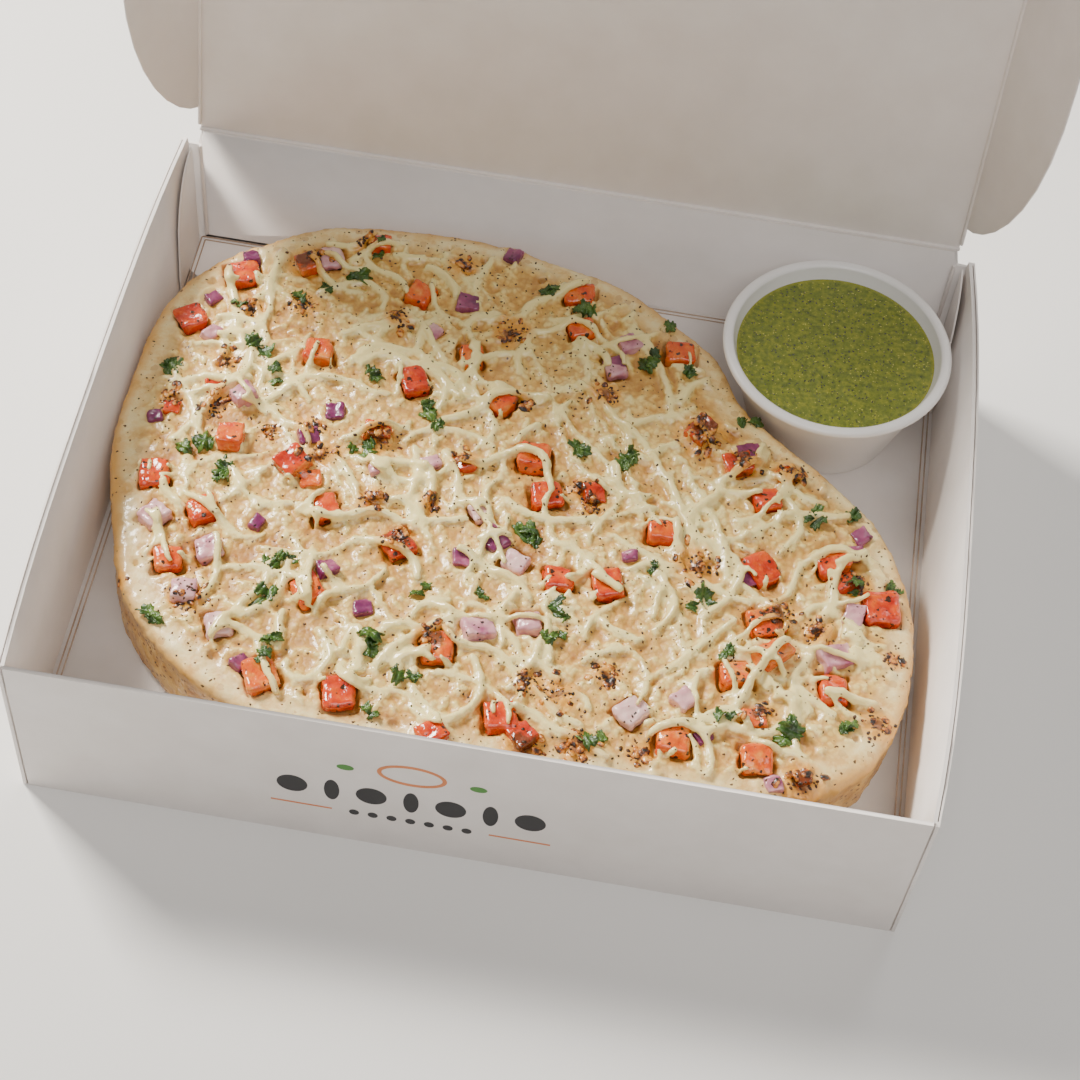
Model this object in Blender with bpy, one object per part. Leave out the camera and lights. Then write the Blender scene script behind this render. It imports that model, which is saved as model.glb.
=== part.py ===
"""A takeaway carton that holds one cheese-topped uttapam and a cup of green chutney.

Units are metres and +Z is up. The origin is the middle of the carton's underside, +X is
to the right and +Y is to the back, where the lid is hinged. The lid stands open.
"""

import math
import random

import bmesh
import bpy
from mathutils import Matrix, Vector

MM = 0.001
GAP = 0.3 * MM                      # clear space between pieces that touch

# Carton board and tray
BOARD = 1.2 * MM                    # floor, front, back and lid panel
PLY = 0.6 * MM                      # corner flaps and lid ears
TRAY_HEIGHT = 64 * MM
FLOOR_RISE = 14 * MM                # closed base under the floor board
FLOOR_TOP = FLOOR_RISE + BOARD
TRAY_HALF_DEPTH = 107 * MM
SIDE_HALF_WIDTH = 130.3 * MM        # outer face of the folded double side wall
BACK_HALF_WIDTH = 126 * MM
SIDE_WALL = 2.0 * MM                # two plies folded over each other
SIDE_BOW_LEFT = 3.0 * MM            # how far a side wall's top leans out at mid length
SIDE_BOW_RIGHT = 4.5 * MM
SIDE_WALL_END = 103.5 * MM          # where the side walls stop, short of the back wall
SIDE_WALL_STEPS = 16
CORNER_DIP = 6 * MM                 # the wall top drops this much round a back corner

# Corner flaps, folded forward from the back wall along the side walls
FLAP_START = 3.4 * MM               # from the back wall, where the corner turns
FLAP_REACH = 28 * MM
FLAP_TOP = FLOOR_RISE + 46 * MM
FLAP_LOW = FLOOR_RISE + 8 * MM
FLAP_STEPS = 9

# Lid, drawn shut and then opened about its crease
LID_OPEN_ANGLE = math.radians(103.5)
LID_AXIS_Y = TRAY_HALF_DEPTH + GAP
LID_AXIS_Z = TRAY_HEIGHT + 0.15 * MM
LID_LENGTH = 212 * MM               # from the hinge crease to the front crease
EAR_AXIS_X = 125.8 * MM
EAR_START = 8 * MM                  # from the hinge crease to the ear's back end
EAR_END = 205 * MM
EAR_WIDTH = 36 * MM
EAR_BACK_ROUND = 70 * MM
EAR_FRONT_ROUND = 45 * MM
EAR_FOLD = math.radians(64)         # fold from flat while the lid stands open
EAR_STEPS = 22
TUCK_WIDTH = 26 * MM
TUCK_HALF_LENGTH = 121 * MM
TUCK_ROUND = 18 * MM
TUCK_FOLD = math.radians(60)

# Dip cup and chutney
CUP_X = 90.8 * MM
CUP_Y = 68.4 * MM
CUP_BASE = FLOOR_TOP + GAP
CUP_TOP = FLOOR_TOP + 38 * MM
CUP_RIM_RADIUS = 36.8 * MM
CUP_NECK_RADIUS = 34.3 * MM         # outer wall just under the rolled rim
CUP_FOOT_RADIUS = 24.2 * MM
CUP_WALL = 1.0 * MM
CUP_RIM_DEPTH = 3.6 * MM
CUP_SIDES = 40
CHUTNEY_LEVEL = 32.5 * MM           # above the carton floor
CHUTNEY_RIM_RISE = 0.5 * MM         # the surface climbs a little at the wall

# Uttapam
BREAD_BASE = FLOOR_TOP + GAP
BREAD_TOP = FLOOR_RISE + 26 * MM
BREAD_SECTORS = 64
BREAD_CROWN = 1.2 * MM              # the middle stands this much over the margin
BREAD_LUMP = 0.7 * MM               # uneven rise of the batter
BASE_FLARE = 2.0 * MM               # crust spreads past the top on one side
FLARE_ANGLE = math.radians(222)

# Top edge of the uttapam, anticlockwise from the right, in millimetres
BREAD_EDGE = (
    (125, -33), (124.5, -23), (119, -6), (109, 11), (102, 17.5), (93, 26), (84, 32.5), (76, 38.5),
    (67.5, 45.5), (60.5, 55), (56, 64), (45, 74), (34, 83), (26, 88), (16, 92), (-9, 98), (-28, 101.5),
    (-46, 102), (-64, 100), (-84, 95), (-105, 81), (-117, 71), (-124, 56), (-127.3, 43), (-128.2, 20),
    (-128, 0), (-125.5, -18), (-119, -38), (-111, -57), (-98, -73), (-84, -85), (-62, -94),
    (-30, -98), (10, -98.5), (45, -98.5), (75, -97), (99, -91), (111, -81), (117.5, -72), (123.5, -52),
)

# Toppings: middle of each piece on the top, in millimetres, and its turn in degrees
TOMATO_SIZE = 10.2 * MM
TOMATO_SPOTS = (
    (-103, 68, 20), (-115, 46, 35), (-72, 40, 8), (-45, 71, 70), (-24, 48, 12), (9, 67, 25),
    (6, 82, 10), (42, 64, 5), (-40, 34, 28), (-12, 32, 55), (2, 12, 4), (8, -2, 15), (75, 10, 18),
    (45, -8, 5), (-111, -17, 15), (-93, -28, 30), (-99, -47, 12), (-57, -20, 25), (-33, -29, 35),
    (-56, -50, 40), (16, -32, 8), (31, -31, 20), (76, -16, 40), (97, -9, 35), (113, -23, 10),
    (79, -35, 22), (72, -55, 15), (101, -54, 5), (-15, -63, 8), (-63, -81, 30), (-40, -83, 15),
    (7, -82, 10), (57, -80, 4), (81, -82, 12),
)
ONION_SIZE = 8.5 * MM
ONION_SPOTS = (
    (-76, 81, 20), (-107, -32, 60), (-88, -41, 30), (-79, -67, 15), (3, -28, 70), (-11, -12, 35),
    (10, -49, 10), (44, -73, 50), (22, 54, 25),
)
SMALL_SIZE = 7 * MM                 # smaller charred dice, fused onto the bread
SMALL_SPOTS = (
    (-83, 77, 30), (52, 31, 60), (-70, -4, 50), (-91, 0, 5), (82, -47, 50), (-11, -91, 40),
    (-90, 17, 40), (105, -33, 80), (65, 23, 20), (-46, 9, 35),
)
LEAF_SIZE = 10.5 * MM
LEAF_SPOTS = (
    (-66, 73, 10), (-101, -5, 75), (-91, 40, 40), (5, -16, 30), (-69, -56, 95), (28, 17, 15),
    (92, -71, 60),
)
TOPPING_SINK = 0.45                 # share of a dice's height under the bread's top
LEAF_THICKNESS = 0.5 * MM
LEAF_WAVE = 0.5 * MM
LEAF_POINTS = 15

# Melted cheese strands, fused onto the bread
STRAND_COUNT = 42
STRAND_RADIUS = 1.5 * MM
STRAND_SIDES = 4
STRAND_STEPS = 5
STRAND_MARGIN = 0.83                # strands keep inside this share of the outline

# Open pores in the batter's bare margin
PORE_COUNT = 26
PORE_RADIUS = 1.7 * MM
PORE_DEPTH = 2.2 * MM

SEED = 20


def clear_scene():
    """Remove every object that the file opens with."""
    for old in list(bpy.data.objects):
        bpy.data.objects.remove(old, do_unlink=True)


def make_material(name, colour, roughness, metallic=0.0):
    """One Principled material."""
    material = bpy.data.materials.new(name)
    material.use_nodes = True
    shader = material.node_tree.nodes["Principled BSDF"]
    shader.inputs["Base Color"].default_value = (*colour, 1.0)
    shader.inputs["Roughness"].default_value = roughness
    shader.inputs["Metallic"].default_value = metallic
    return material


def make_object(name, bm, material, parent=None):
    """Turn a bmesh into a named object with its faces pointing out."""
    bmesh.ops.remove_doubles(bm, verts=bm.verts, dist=0.00001)
    bmesh.ops.recalc_face_normals(bm, faces=bm.faces)
    mesh = bpy.data.meshes.new(name)
    bm.to_mesh(mesh)
    bm.free()
    mesh.materials.append(material)
    piece = bpy.data.objects.new(name, mesh)
    bpy.context.scene.collection.objects.link(piece)
    piece.parent = parent
    return piece


def make_empty(name, location, rotation, parent=None):
    """An empty on a joint's axis, which carries the piece that turns."""
    empty = bpy.data.objects.new(name, None)
    bpy.context.scene.collection.objects.link(empty)
    empty.parent = parent
    empty.location = location
    empty.rotation_euler = rotation
    return empty


def skin_rings(bm, rings, close_ends=True):
    """Join closed rings of points one after another, and cap the first and last."""
    loops = [[bm.verts.new(point) for point in ring] for ring in rings]
    count = len(loops[0])
    for low, high in zip(loops, loops[1:]):
        for i in range(count):
            j = (i + 1) % count
            bm.faces.new((low[i], low[j], high[j], high[i]))
    if close_ends:
        bm.faces.new(loops[0])
        bm.faces.new(loops[-1])
    return loops


def plate(outline, thickness, place):
    """A flat plate: the outline's points go through place(u, v, depth)."""
    bm = bmesh.new()
    skin_rings(bm, [[place(u, v, depth) for u, v in outline] for depth in (0.0, thickness)])
    return bm


def side_lean(side, y, z):
    """How far a side wall stands out of its upright at a height."""
    bow = SIDE_BOW_RIGHT if side > 0 else SIDE_BOW_LEFT
    along = min(1.0, abs(y) / TRAY_HALF_DEPTH)
    share = max(0.0, z - FLOOR_RISE) / (TRAY_HEIGHT - FLOOR_RISE)
    return bow * (1.0 - along ** 3) * share


def tray_loop(inset, level, top_of=None):
    """Plan of the tray's wall, anticlockwise, moved inwards, at one height."""
    front = -TRAY_HALF_DEPTH + min(inset, BOARD)
    back = TRAY_HALF_DEPTH - min(inset, BOARD)
    side = SIDE_HALF_WIDTH - inset
    half = []
    for step in range(SIDE_WALL_STEPS + 1):
        share = step / SIDE_WALL_STEPS
        y = front + (SIDE_WALL_END - BOARD - front) * share
        half.append((side, y, 0.0))
    half.append((side, SIDE_WALL_END - min(inset, BOARD) * 0.4, 0.5))
    half.append((BACK_HALF_WIDTH - min(inset, BOARD) + 0.4 * MM, back, 1.0))
    half.append((BACK_HALF_WIDTH - min(inset, BOARD) - 1.0 * MM, back, 0.0))
    points = []
    for x, y, dip in half:
        z = (TRAY_HEIGHT - dip * CORNER_DIP) if top_of else level
        points.append(Vector((x + side_lean(1, y, z), y, z)))
    for x, y, dip in reversed(half):
        z = (TRAY_HEIGHT - dip * CORNER_DIP) if top_of else level
        points.append(Vector((-x - side_lean(-1, y, z), y, z)))
    return points


def build_tray(material):
    """Closed base, front and back panels and the bowed double side walls, as one piece."""
    bm = bmesh.new()
    skin_rings(bm, [
        tray_loop(0.0, 0.0),
        tray_loop(0.0, FLOOR_RISE),
        tray_loop(0.0, None, top_of=True),
        tray_loop(SIDE_WALL, None, top_of=True),
        tray_loop(SIDE_WALL, FLOOR_TOP),
    ])
    return make_object("carton_tray", bm, material)


def flap_outline():
    """Corner flap seen from its side: distance from the back wall, and height."""
    low = FLOOR_TOP + GAP
    outline = [(FLAP_START, low), (FLAP_REACH, low)]
    for step in range(FLAP_STEPS):
        share = 1.0 - step / (FLAP_STEPS - 1)
        fall = math.sqrt(max(0.0, 1.0 - share ** 2.4))
        reach = FLAP_START + (FLAP_REACH - FLAP_START) * share
        outline.append((reach, FLAP_LOW + (FLAP_TOP - FLAP_LOW) * fall))
    return outline


def build_corner_flaps(material):
    """A thin flap inside each back corner."""
    inner_face = SIDE_HALF_WIDTH - SIDE_WALL - GAP - PLY
    back_face = TRAY_HALF_DEPTH - BOARD
    for name, side in (("corner_flap_left", -1), ("corner_flap_right", 1)):
        def place(reach, height, depth):
            return Vector((side * (inner_face + depth), back_face - reach, height))
        make_object(name, plate(flap_outline(), PLY, place), material)


def ear_outline():
    """Lid ear laid flat: distance from the hinge crease, and width from its own crease."""
    outline = []
    for step in range(EAR_STEPS + 1):
        share = step / EAR_STEPS
        eased = 0.5 - 0.5 * math.cos(math.pi * share)
        along = EAR_START + (EAR_END - EAR_START) * eased
        back = min(1.0, (along - EAR_START) / EAR_BACK_ROUND)
        front = min(1.0, (EAR_END - along) / EAR_FRONT_ROUND)
        nearest = min(1.0 - (1.0 - back) ** 2.2, 1.0 - (1.0 - front) ** 2.2)
        outline.append((along, GAP + EAR_WIDTH * max(0.0, nearest) ** (1 / 1.6)))
    return outline


def tuck_outline():
    """Front tuck flap laid flat: place along X, and width from its crease."""
    outline = [(-TUCK_HALF_LENGTH, GAP), (TUCK_HALF_LENGTH, GAP)]
    for side in (1, -1):
        for step in range(6):
            turn = math.radians(90 * step / 5)
            if side < 0:
                turn = math.radians(90) - turn
            x = TUCK_HALF_LENGTH - TUCK_ROUND + TUCK_ROUND * math.cos(turn)
            width = TUCK_WIDTH - TUCK_ROUND + TUCK_ROUND * math.sin(turn)
            outline.append((side * x, width))
    return outline


def build_lid(material):
    """Panel, ears and tuck flap, each on the crease that it folds about."""
    hinge = make_empty("lid_crease", (0, LID_AXIS_Y, LID_AXIS_Z), (-LID_OPEN_ANGLE, 0, 0))
    rise = 0.15 * MM
    half = EAR_AXIS_X - GAP
    panel = [(-half, GAP), (half, GAP), (half, LID_LENGTH - GAP), (-half, LID_LENGTH - GAP)]
    make_object("lid_panel", plate(panel, BOARD, lambda x, along, depth: Vector(
        (x, -along, rise + depth))), material, hinge)
    for name, side in (("lid_ear_left", -1), ("lid_ear_right", 1)):
        crease = make_empty(name + "_crease", (side * EAR_AXIS_X, 0, 0), (0, side * EAR_FOLD, 0), hinge)

        def place(along, width, depth):
            return Vector((side * width, -along, rise + depth))
        make_object(name, plate(ear_outline(), PLY, place), material, crease)
    front = make_empty("tuck_crease", (0, -LID_LENGTH, 0), (TUCK_FOLD, 0, 0), hinge)
    make_object("lid_tuck_flap", plate(tuck_outline(), PLY, lambda x, width, depth: Vector(
        (x, -width, rise + depth))), material, front)


def turned(bm, profile, sides, middle):
    """Turn a profile of (radius, height) points, which starts and ends on the axis."""
    x0, y0 = middle
    rings = []
    for radius, z in profile[1:-1]:
        angles = [2 * math.pi * i / sides for i in range(sides)]
        rings.append([Vector((x0 + radius * math.cos(a), y0 + radius * math.sin(a), z)) for a in angles])
    loops = skin_rings(bm, rings, close_ends=False)
    for loop, (_, z) in ((loops[0], profile[0]), (loops[-1], profile[-1])):
        pole = bm.verts.new((x0, y0, z))
        for i in range(sides):
            bm.faces.new((loop[i], loop[(i + 1) % sides], pole))


def cup_inner_radius(z):
    """Radius of the cup's inner wall at a height."""
    share = (z - CUP_BASE) / (CUP_TOP - CUP_BASE)
    return CUP_FOOT_RADIUS + (CUP_NECK_RADIUS - CUP_FOOT_RADIUS) * share - CUP_WALL


def build_cup(material):
    """Tapered paper-white cup with a rolled rim."""
    top = CUP_TOP
    under_rim = top - CUP_RIM_DEPTH
    floor = CUP_BASE + CUP_WALL
    neck = CUP_NECK_RADIUS - 0.4 * MM
    profile = [
        (0, CUP_BASE + 0.6 * MM),
        (CUP_FOOT_RADIUS - 2.6 * MM, CUP_BASE + 0.6 * MM),
        (CUP_FOOT_RADIUS - 1.8 * MM, CUP_BASE),
        (CUP_FOOT_RADIUS - 0.3 * MM, CUP_BASE),
        (CUP_FOOT_RADIUS + 0.2 * MM, CUP_BASE + 0.6 * MM),
        (neck, under_rim),
        (CUP_RIM_RADIUS - 0.5 * MM, under_rim + 0.3 * MM),
        (CUP_RIM_RADIUS, under_rim + 1.3 * MM),
        (CUP_RIM_RADIUS - 0.1 * MM, top - 0.9 * MM),
        (CUP_RIM_RADIUS - 1.1 * MM, top),
        (cup_inner_radius(top) + 0.7 * MM, top - 0.1 * MM),
        (cup_inner_radius(top - 1.4 * MM), top - 1.4 * MM),
        (cup_inner_radius(floor + 1.2 * MM), floor + 1.2 * MM),
        (cup_inner_radius(floor) - 1.2 * MM, floor),
        (0, floor),
    ]
    bm = bmesh.new()
    turned(bm, profile, CUP_SIDES, (CUP_X, CUP_Y))
    return make_object("dip_cup", bm, material)


def build_chutney(material):
    """Chutney up to its level, with the little climb where it wets the wall."""
    top = CHUTNEY_LEVEL + FLOOR_TOP
    floor = CUP_BASE + CUP_WALL + GAP
    wet = cup_inner_radius(top) - 0.45 * MM
    profile = [
        (0, floor),
        (cup_inner_radius(floor) - 2.2 * MM, floor),
        (cup_inner_radius(floor + 1.6 * MM) - 0.6 * MM, floor + 1.6 * MM),
        (wet, top + CHUTNEY_RIM_RISE),
        (wet - 1.4 * MM, top),
        (0, top),
    ]
    bm = bmesh.new()
    turned(bm, profile, CUP_SIDES, (CUP_X, CUP_Y))
    return make_object("green_chutney", bm, material)


def edge_radii(count):
    """Distance from the middle to the smooth top edge, for evenly spaced directions."""
    points = [Vector((x * MM, y * MM)) for x, y in BREAD_EDGE]
    fine = []
    total = len(points)
    for i in range(total):
        a, b, c, d = (points[(i + k) % total] for k in (-1, 0, 1, 2))
        for step in range(12):
            t = step / 12
            fine.append(0.5 * (2 * b + (c - a) * t + (2 * a - 5 * b + 4 * c - d) * t ** 2
                               + (3 * b - a - 3 * c + d) * t ** 3))
    turns = [(math.atan2(p.y, p.x) % (2 * math.pi), p.length) for p in fine]
    turns.sort()
    radii = []
    for i in range(count):
        angle = 2 * math.pi * i / count
        after = next((k for k, (turn, _) in enumerate(turns) if turn >= angle), 0)
        low_turn, low = turns[after - 1]
        high_turn, high = turns[after]
        span = (high_turn - low_turn) % (2 * math.pi)
        share = ((angle - low_turn) % (2 * math.pi)) / max(span, 1e-9)
        radii.append(low + (high - low) * share)
    return radii


RADII = edge_radii(720)


def edge_radius(angle):
    """Radius of the bread's top edge in one direction."""
    place = (angle % (2 * math.pi)) / (2 * math.pi) * len(RADII)
    low = int(place) % len(RADII)
    return RADII[low] + (RADII[(low + 1) % len(RADII)] - RADII[low]) * (place - int(place))


def bread_height(x, y):
    """Height of the bread's top without its toppings."""
    share = min(1.0, math.hypot(x, y) / edge_radius(math.atan2(y, x)))
    lump = math.sin(x * 95 + 1.3) * math.cos(y * 120 - 0.4) + 0.6 * math.sin((x + y) * 210)
    return BREAD_TOP + BREAD_CROWN * (1 - share ** 4) + 0.5 * BREAD_LUMP * lump


def flare(angle):
    """Spread of the brown base crust, widest on one side."""
    return BASE_FLARE * max(0.0, math.cos(angle - FLARE_ANGLE)) ** 1.5


def bread_ring(inset, z=None, spread=0.0):
    """One ring of the bread's skin, a distance in from the top edge."""
    ring = []
    for i in range(BREAD_SECTORS):
        angle = 2 * math.pi * i / BREAD_SECTORS
        wobble = 0.35 * MM * math.sin(angle * 9) + 0.3 * MM * math.sin(angle * 14 + 1)
        radius = edge_radius(angle) - inset + flare(angle) * spread + wobble
        x = radius * math.cos(angle)
        y = radius * math.sin(angle)
        ring.append(Vector((x, y, z if z is not None else bread_height(x, y))))
    return ring


def scaled_ring(share):
    """A ring of the top, at a share of the way out from the middle."""
    ring = []
    for i in range(BREAD_SECTORS):
        angle = 2 * math.pi * i / BREAD_SECTORS
        radius = (edge_radius(angle) - 6.5 * MM) * share
        x = radius * math.cos(angle)
        y = radius * math.sin(angle)
        ring.append(Vector((x, y, bread_height(x, y))))
    return ring


def build_bread_core(material):
    """The thick spongy bread: flat browned base, spread crust and soft crisp rim."""
    bm = bmesh.new()
    rings = [
        bread_ring(3.2 * MM, BREAD_BASE, 1.0),
        bread_ring(1.5 * MM, BREAD_BASE + 1.2 * MM, 1.0),
        bread_ring(1.2 * MM, BREAD_BASE + 7 * MM, 0.8),
        bread_ring(0.9 * MM, BREAD_BASE + 15 * MM, 0.3),
        bread_ring(0.4 * MM, BREAD_TOP - 3.0 * MM, 0.1),
        bread_ring(1.2 * MM, BREAD_TOP - 1.0 * MM),
        bread_ring(3.2 * MM, BREAD_TOP - 0.1 * MM),
        bread_ring(6.5 * MM),
    ]
    rings += [scaled_ring(share) for share in (0.8, 0.6, 0.4, 0.2)]
    skin_rings(bm, rings)
    return make_object("uttapam", bm, material)


def strand_path(rng):
    """A short wavering line over the bread's top, most of them along two slants."""
    angle = rng.uniform(0, 2 * math.pi)
    reach = STRAND_MARGIN * math.sqrt(rng.random())
    radius = edge_radius(angle) * reach
    x = radius * math.cos(angle)
    y = radius * math.sin(angle)
    heading = math.radians(rng.choice((-58, -48, 32, 44, 100)) + rng.uniform(-16, 16))
    length = rng.uniform(26, 48) * MM
    path = []
    for step in range(STRAND_STEPS):
        share = step / (STRAND_STEPS - 1) - 0.5
        px = x + length * share * math.cos(heading)
        py = y + length * share * math.sin(heading)
        path.append((px, py))
        heading += rng.uniform(-0.22, 0.22)
    inside = [math.hypot(px, py) < edge_radius(math.atan2(py, px)) * 0.93 for px, py in path]
    return path if all(inside) else None


def add_tube(bm, path, radius):
    """A closed four-sided tube that lies half sunk in the bread's top."""
    rings = []
    for i, (x, y) in enumerate(path):
        ahead = path[min(i + 1, len(path) - 1)]
        behind = path[max(i - 1, 0)]
        heading = math.atan2(ahead[1] - behind[1], ahead[0] - behind[0])
        taper = 0.55 if i in (0, len(path) - 1) else 1.0
        ring = []
        for k in range(STRAND_SIDES):
            turn = 2 * math.pi * k / STRAND_SIDES + math.pi / 2
            across = radius * taper * math.cos(turn)
            up = radius * taper * math.sin(turn)
            ring.append(Vector((x - across * math.sin(heading), y + across * math.cos(heading),
                                bread_height(x, y) + 0.15 * MM + up)))
        rings.append(ring)
    skin_rings(bm, rings)


def bevelled_box(size, bevel):
    """A box with its edges broken, centred on its own origin."""
    bm = bmesh.new()
    bmesh.ops.create_cube(bm, size=1.0)
    bmesh.ops.scale(bm, vec=size, verts=bm.verts)
    if bevel > 0:
        bmesh.ops.bevel(bm, geom=bm.edges, offset=bevel, segments=1, affect="EDGES")
    return bm


def uneven(bm, rng, amount):
    """Push the corners of a small piece about, so that no two pieces match."""
    signs = (-1, 1)
    corners = {(a, b, c): Vector([rng.uniform(-amount, amount) for _ in range(3)])
               for a in signs for b in signs for c in signs}
    for vert in bm.verts:
        vert.co += corners[tuple(1 if value > 0 else -1 for value in vert.co)]


def leaf_outline(size):
    """Outline of a torn coriander leaf with three rounded lobes."""
    outline = []
    for i in range(LEAF_POINTS):
        angle = 2 * math.pi * i / LEAF_POINTS
        lobes = 0.5 + 0.5 * math.cos(3 * angle)
        radius = size * 0.5 * (0.62 + 0.38 * lobes) * (0.93 + 0.07 * math.cos(9 * angle))
        outline.append((radius * math.cos(angle), radius * math.sin(angle) * 0.85))
    return outline


def leaf_mesh(size, low, high, wave):
    """A thin wavy leaf: both faces are fans of the same triangles."""
    bm = bmesh.new()
    outline = leaf_outline(size)
    faces = []
    for level in (low, high):
        ring = [bm.verts.new((x, y, level + wave * math.sin(x * 700 + 2 * y * 500))) for x, y in outline]
        pole = bm.verts.new((0, 0, level + 0.4 * wave))
        faces.append((ring, pole))
    for ring, pole in faces:
        for i in range(LEAF_POINTS):
            bm.faces.new((ring[i], ring[(i + 1) % LEAF_POINTS], pole))
    low_ring, high_ring = faces[0][0], faces[1][0]
    for i in range(LEAF_POINTS):
        j = (i + 1) % LEAF_POINTS
        bm.faces.new((low_ring[i], low_ring[j], high_ring[j]))
        bm.faces.new((low_ring[i], high_ring[j], high_ring[i]))
    return bm


def place_mesh(bm, x, y, z, turn, tilt=0.0):
    """Turn a small piece and move it to its spot."""
    turning = Matrix.Rotation(math.radians(turn), 4, "Z") @ Matrix.Rotation(tilt, 4, "X")
    bm.transform(Matrix.Translation((x, y, z)) @ turning)


def add_cutter(bm, cutters):
    """Keep one shape that is cut out of the bread."""
    bmesh.ops.recalc_face_normals(bm, faces=bm.faces)
    mesh = bpy.data.meshes.new("clearance")
    bm.to_mesh(mesh)
    bm.free()
    cutter = bpy.data.objects.new("clearance", mesh)
    cutter.hide_render = True
    cutter.display_type = "WIRE"
    cutters.objects.link(cutter)


def build_dice(kind, spots, size, colour_of, cutters, rng):
    """Bevelled dice of tomato or onion, each sunk in a clear pocket of the bread."""
    for number, (x_mm, y_mm, turn) in enumerate(spots, start=1):
        x = x_mm * MM
        y = y_mm * MM
        width = size * rng.uniform(0.85, 1.12)
        depth = size * rng.uniform(0.85, 1.12)
        height = size * rng.uniform(0.5, 0.62)
        tilt = math.radians(rng.uniform(-8, 8))
        z = bread_height(x, y) + height * (0.5 - TOPPING_SINK)
        shake = 0.5 * MM
        shape_seed = rng.random()
        piece = bevelled_box((width, depth, height), 0.9 * MM)
        uneven(piece, random.Random(shape_seed), shake)
        place_mesh(piece, x, y, z, turn, tilt)
        make_object(f"{kind}_{number:02d}", piece, colour_of(number))
        pocket = bevelled_box((width + 3 * GAP, depth + 3 * GAP, height + 3 * GAP), 0)
        uneven(pocket, random.Random(shape_seed), shake)
        for vert in pocket.verts:
            if vert.co.z > 0:
                vert.co.z += 6 * MM
        place_mesh(pocket, x, y, z, turn, tilt)
        add_cutter(pocket, cutters)


def build_leaves(material, cutters, rng):
    """Coriander leaves that lie in shallow dents of the top."""
    for number, (x_mm, y_mm, turn) in enumerate(LEAF_SPOTS, start=1):
        x = x_mm * MM
        y = y_mm * MM
        size = LEAF_SIZE * rng.uniform(0.9, 1.15)
        z = bread_height(x, y) + 0.3 * MM
        leaf = leaf_mesh(size, 0.0, LEAF_THICKNESS, LEAF_WAVE)
        place_mesh(leaf, x, y, z, turn)
        make_object(f"coriander_{number:02d}", leaf, material)
        dent = bmesh.new()
        outline = [(px * 1.12, py * 1.12) for px, py in leaf_outline(size)]
        skin_rings(dent, [[Vector((px, py, level)) for px, py in outline]
                          for level in (-LEAF_WAVE - GAP, 6 * MM)])
        place_mesh(dent, x, y, z, turn)
        add_cutter(dent, cutters)


def near_topping(x, y, clear):
    """Whether a place on the top is taken by a topping."""
    spots = TOMATO_SPOTS + ONION_SPOTS + LEAF_SPOTS
    return any(math.hypot(x - sx * MM, y - sy * MM) < clear for sx, sy, _ in spots)


def add_pores(cutters, rng):
    """Open pores: small round hollows in the bare margin."""
    made = 0
    while made < PORE_COUNT:
        angle = 2 * math.pi * (made + rng.uniform(0.1, 0.9)) / PORE_COUNT
        radius = edge_radius(angle) - rng.uniform(6, 13) * MM
        x = radius * math.cos(angle)
        y = radius * math.sin(angle)
        made += 1
        if near_topping(x, y, 8.5 * MM):
            continue
        size = PORE_RADIUS * rng.uniform(0.7, 1.25)
        pore = bmesh.new()
        top = bread_height(x, y)
        rings = []
        for share, level in ((0.55, top - PORE_DEPTH), (0.95, top - 1.0 * MM), (1.0, top + 3 * MM)):
            rings.append([Vector((x + size * share * math.cos(math.pi * k / 3),
                                  y + size * share * math.sin(math.pi * k / 3), level)) for k in range(6)])
        skin_rings(pore, rings)
        add_cutter(pore, cutters)


def apply_boolean(piece, operation, collection):
    """Apply one Boolean with a whole collection, then remove the collection's objects."""
    cut = piece.modifiers.new("cut", "BOOLEAN")
    cut.operation = operation
    cut.operand_type = "COLLECTION"
    cut.collection = collection
    cut.solver = "MANIFOLD"
    depsgraph = bpy.context.evaluated_depsgraph_get()
    mesh = bpy.data.meshes.new_from_object(piece.evaluated_get(depsgraph))
    piece.modifiers.clear()
    piece.data = mesh
    for used in list(collection.objects):
        bpy.data.objects.remove(used, do_unlink=True)
    keep_largest_body(piece)


def keep_largest_body(piece):
    """Drop loose scraps and fill sealed hollows: only the largest shell stays."""
    bm = bmesh.new()
    bm.from_mesh(piece.data)
    seen = set()
    shells = []
    for start in bm.verts:
        if start in seen:
            continue
        stack = [start]
        shell = []
        seen.add(start)
        while stack:
            vert = stack.pop()
            shell.append(vert)
            for edge in vert.link_edges:
                other = edge.other_vert(vert)
                if other not in seen:
                    seen.add(other)
                    stack.append(other)
        shells.append(shell)
    shells.sort(key=len)
    for shell in shells[:-1]:
        bmesh.ops.delete(bm, geom=shell, context="VERTS")
    bmesh.ops.triangulate(bm, faces=bm.faces)
    bm.to_mesh(piece.data)
    bm.free()


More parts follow.
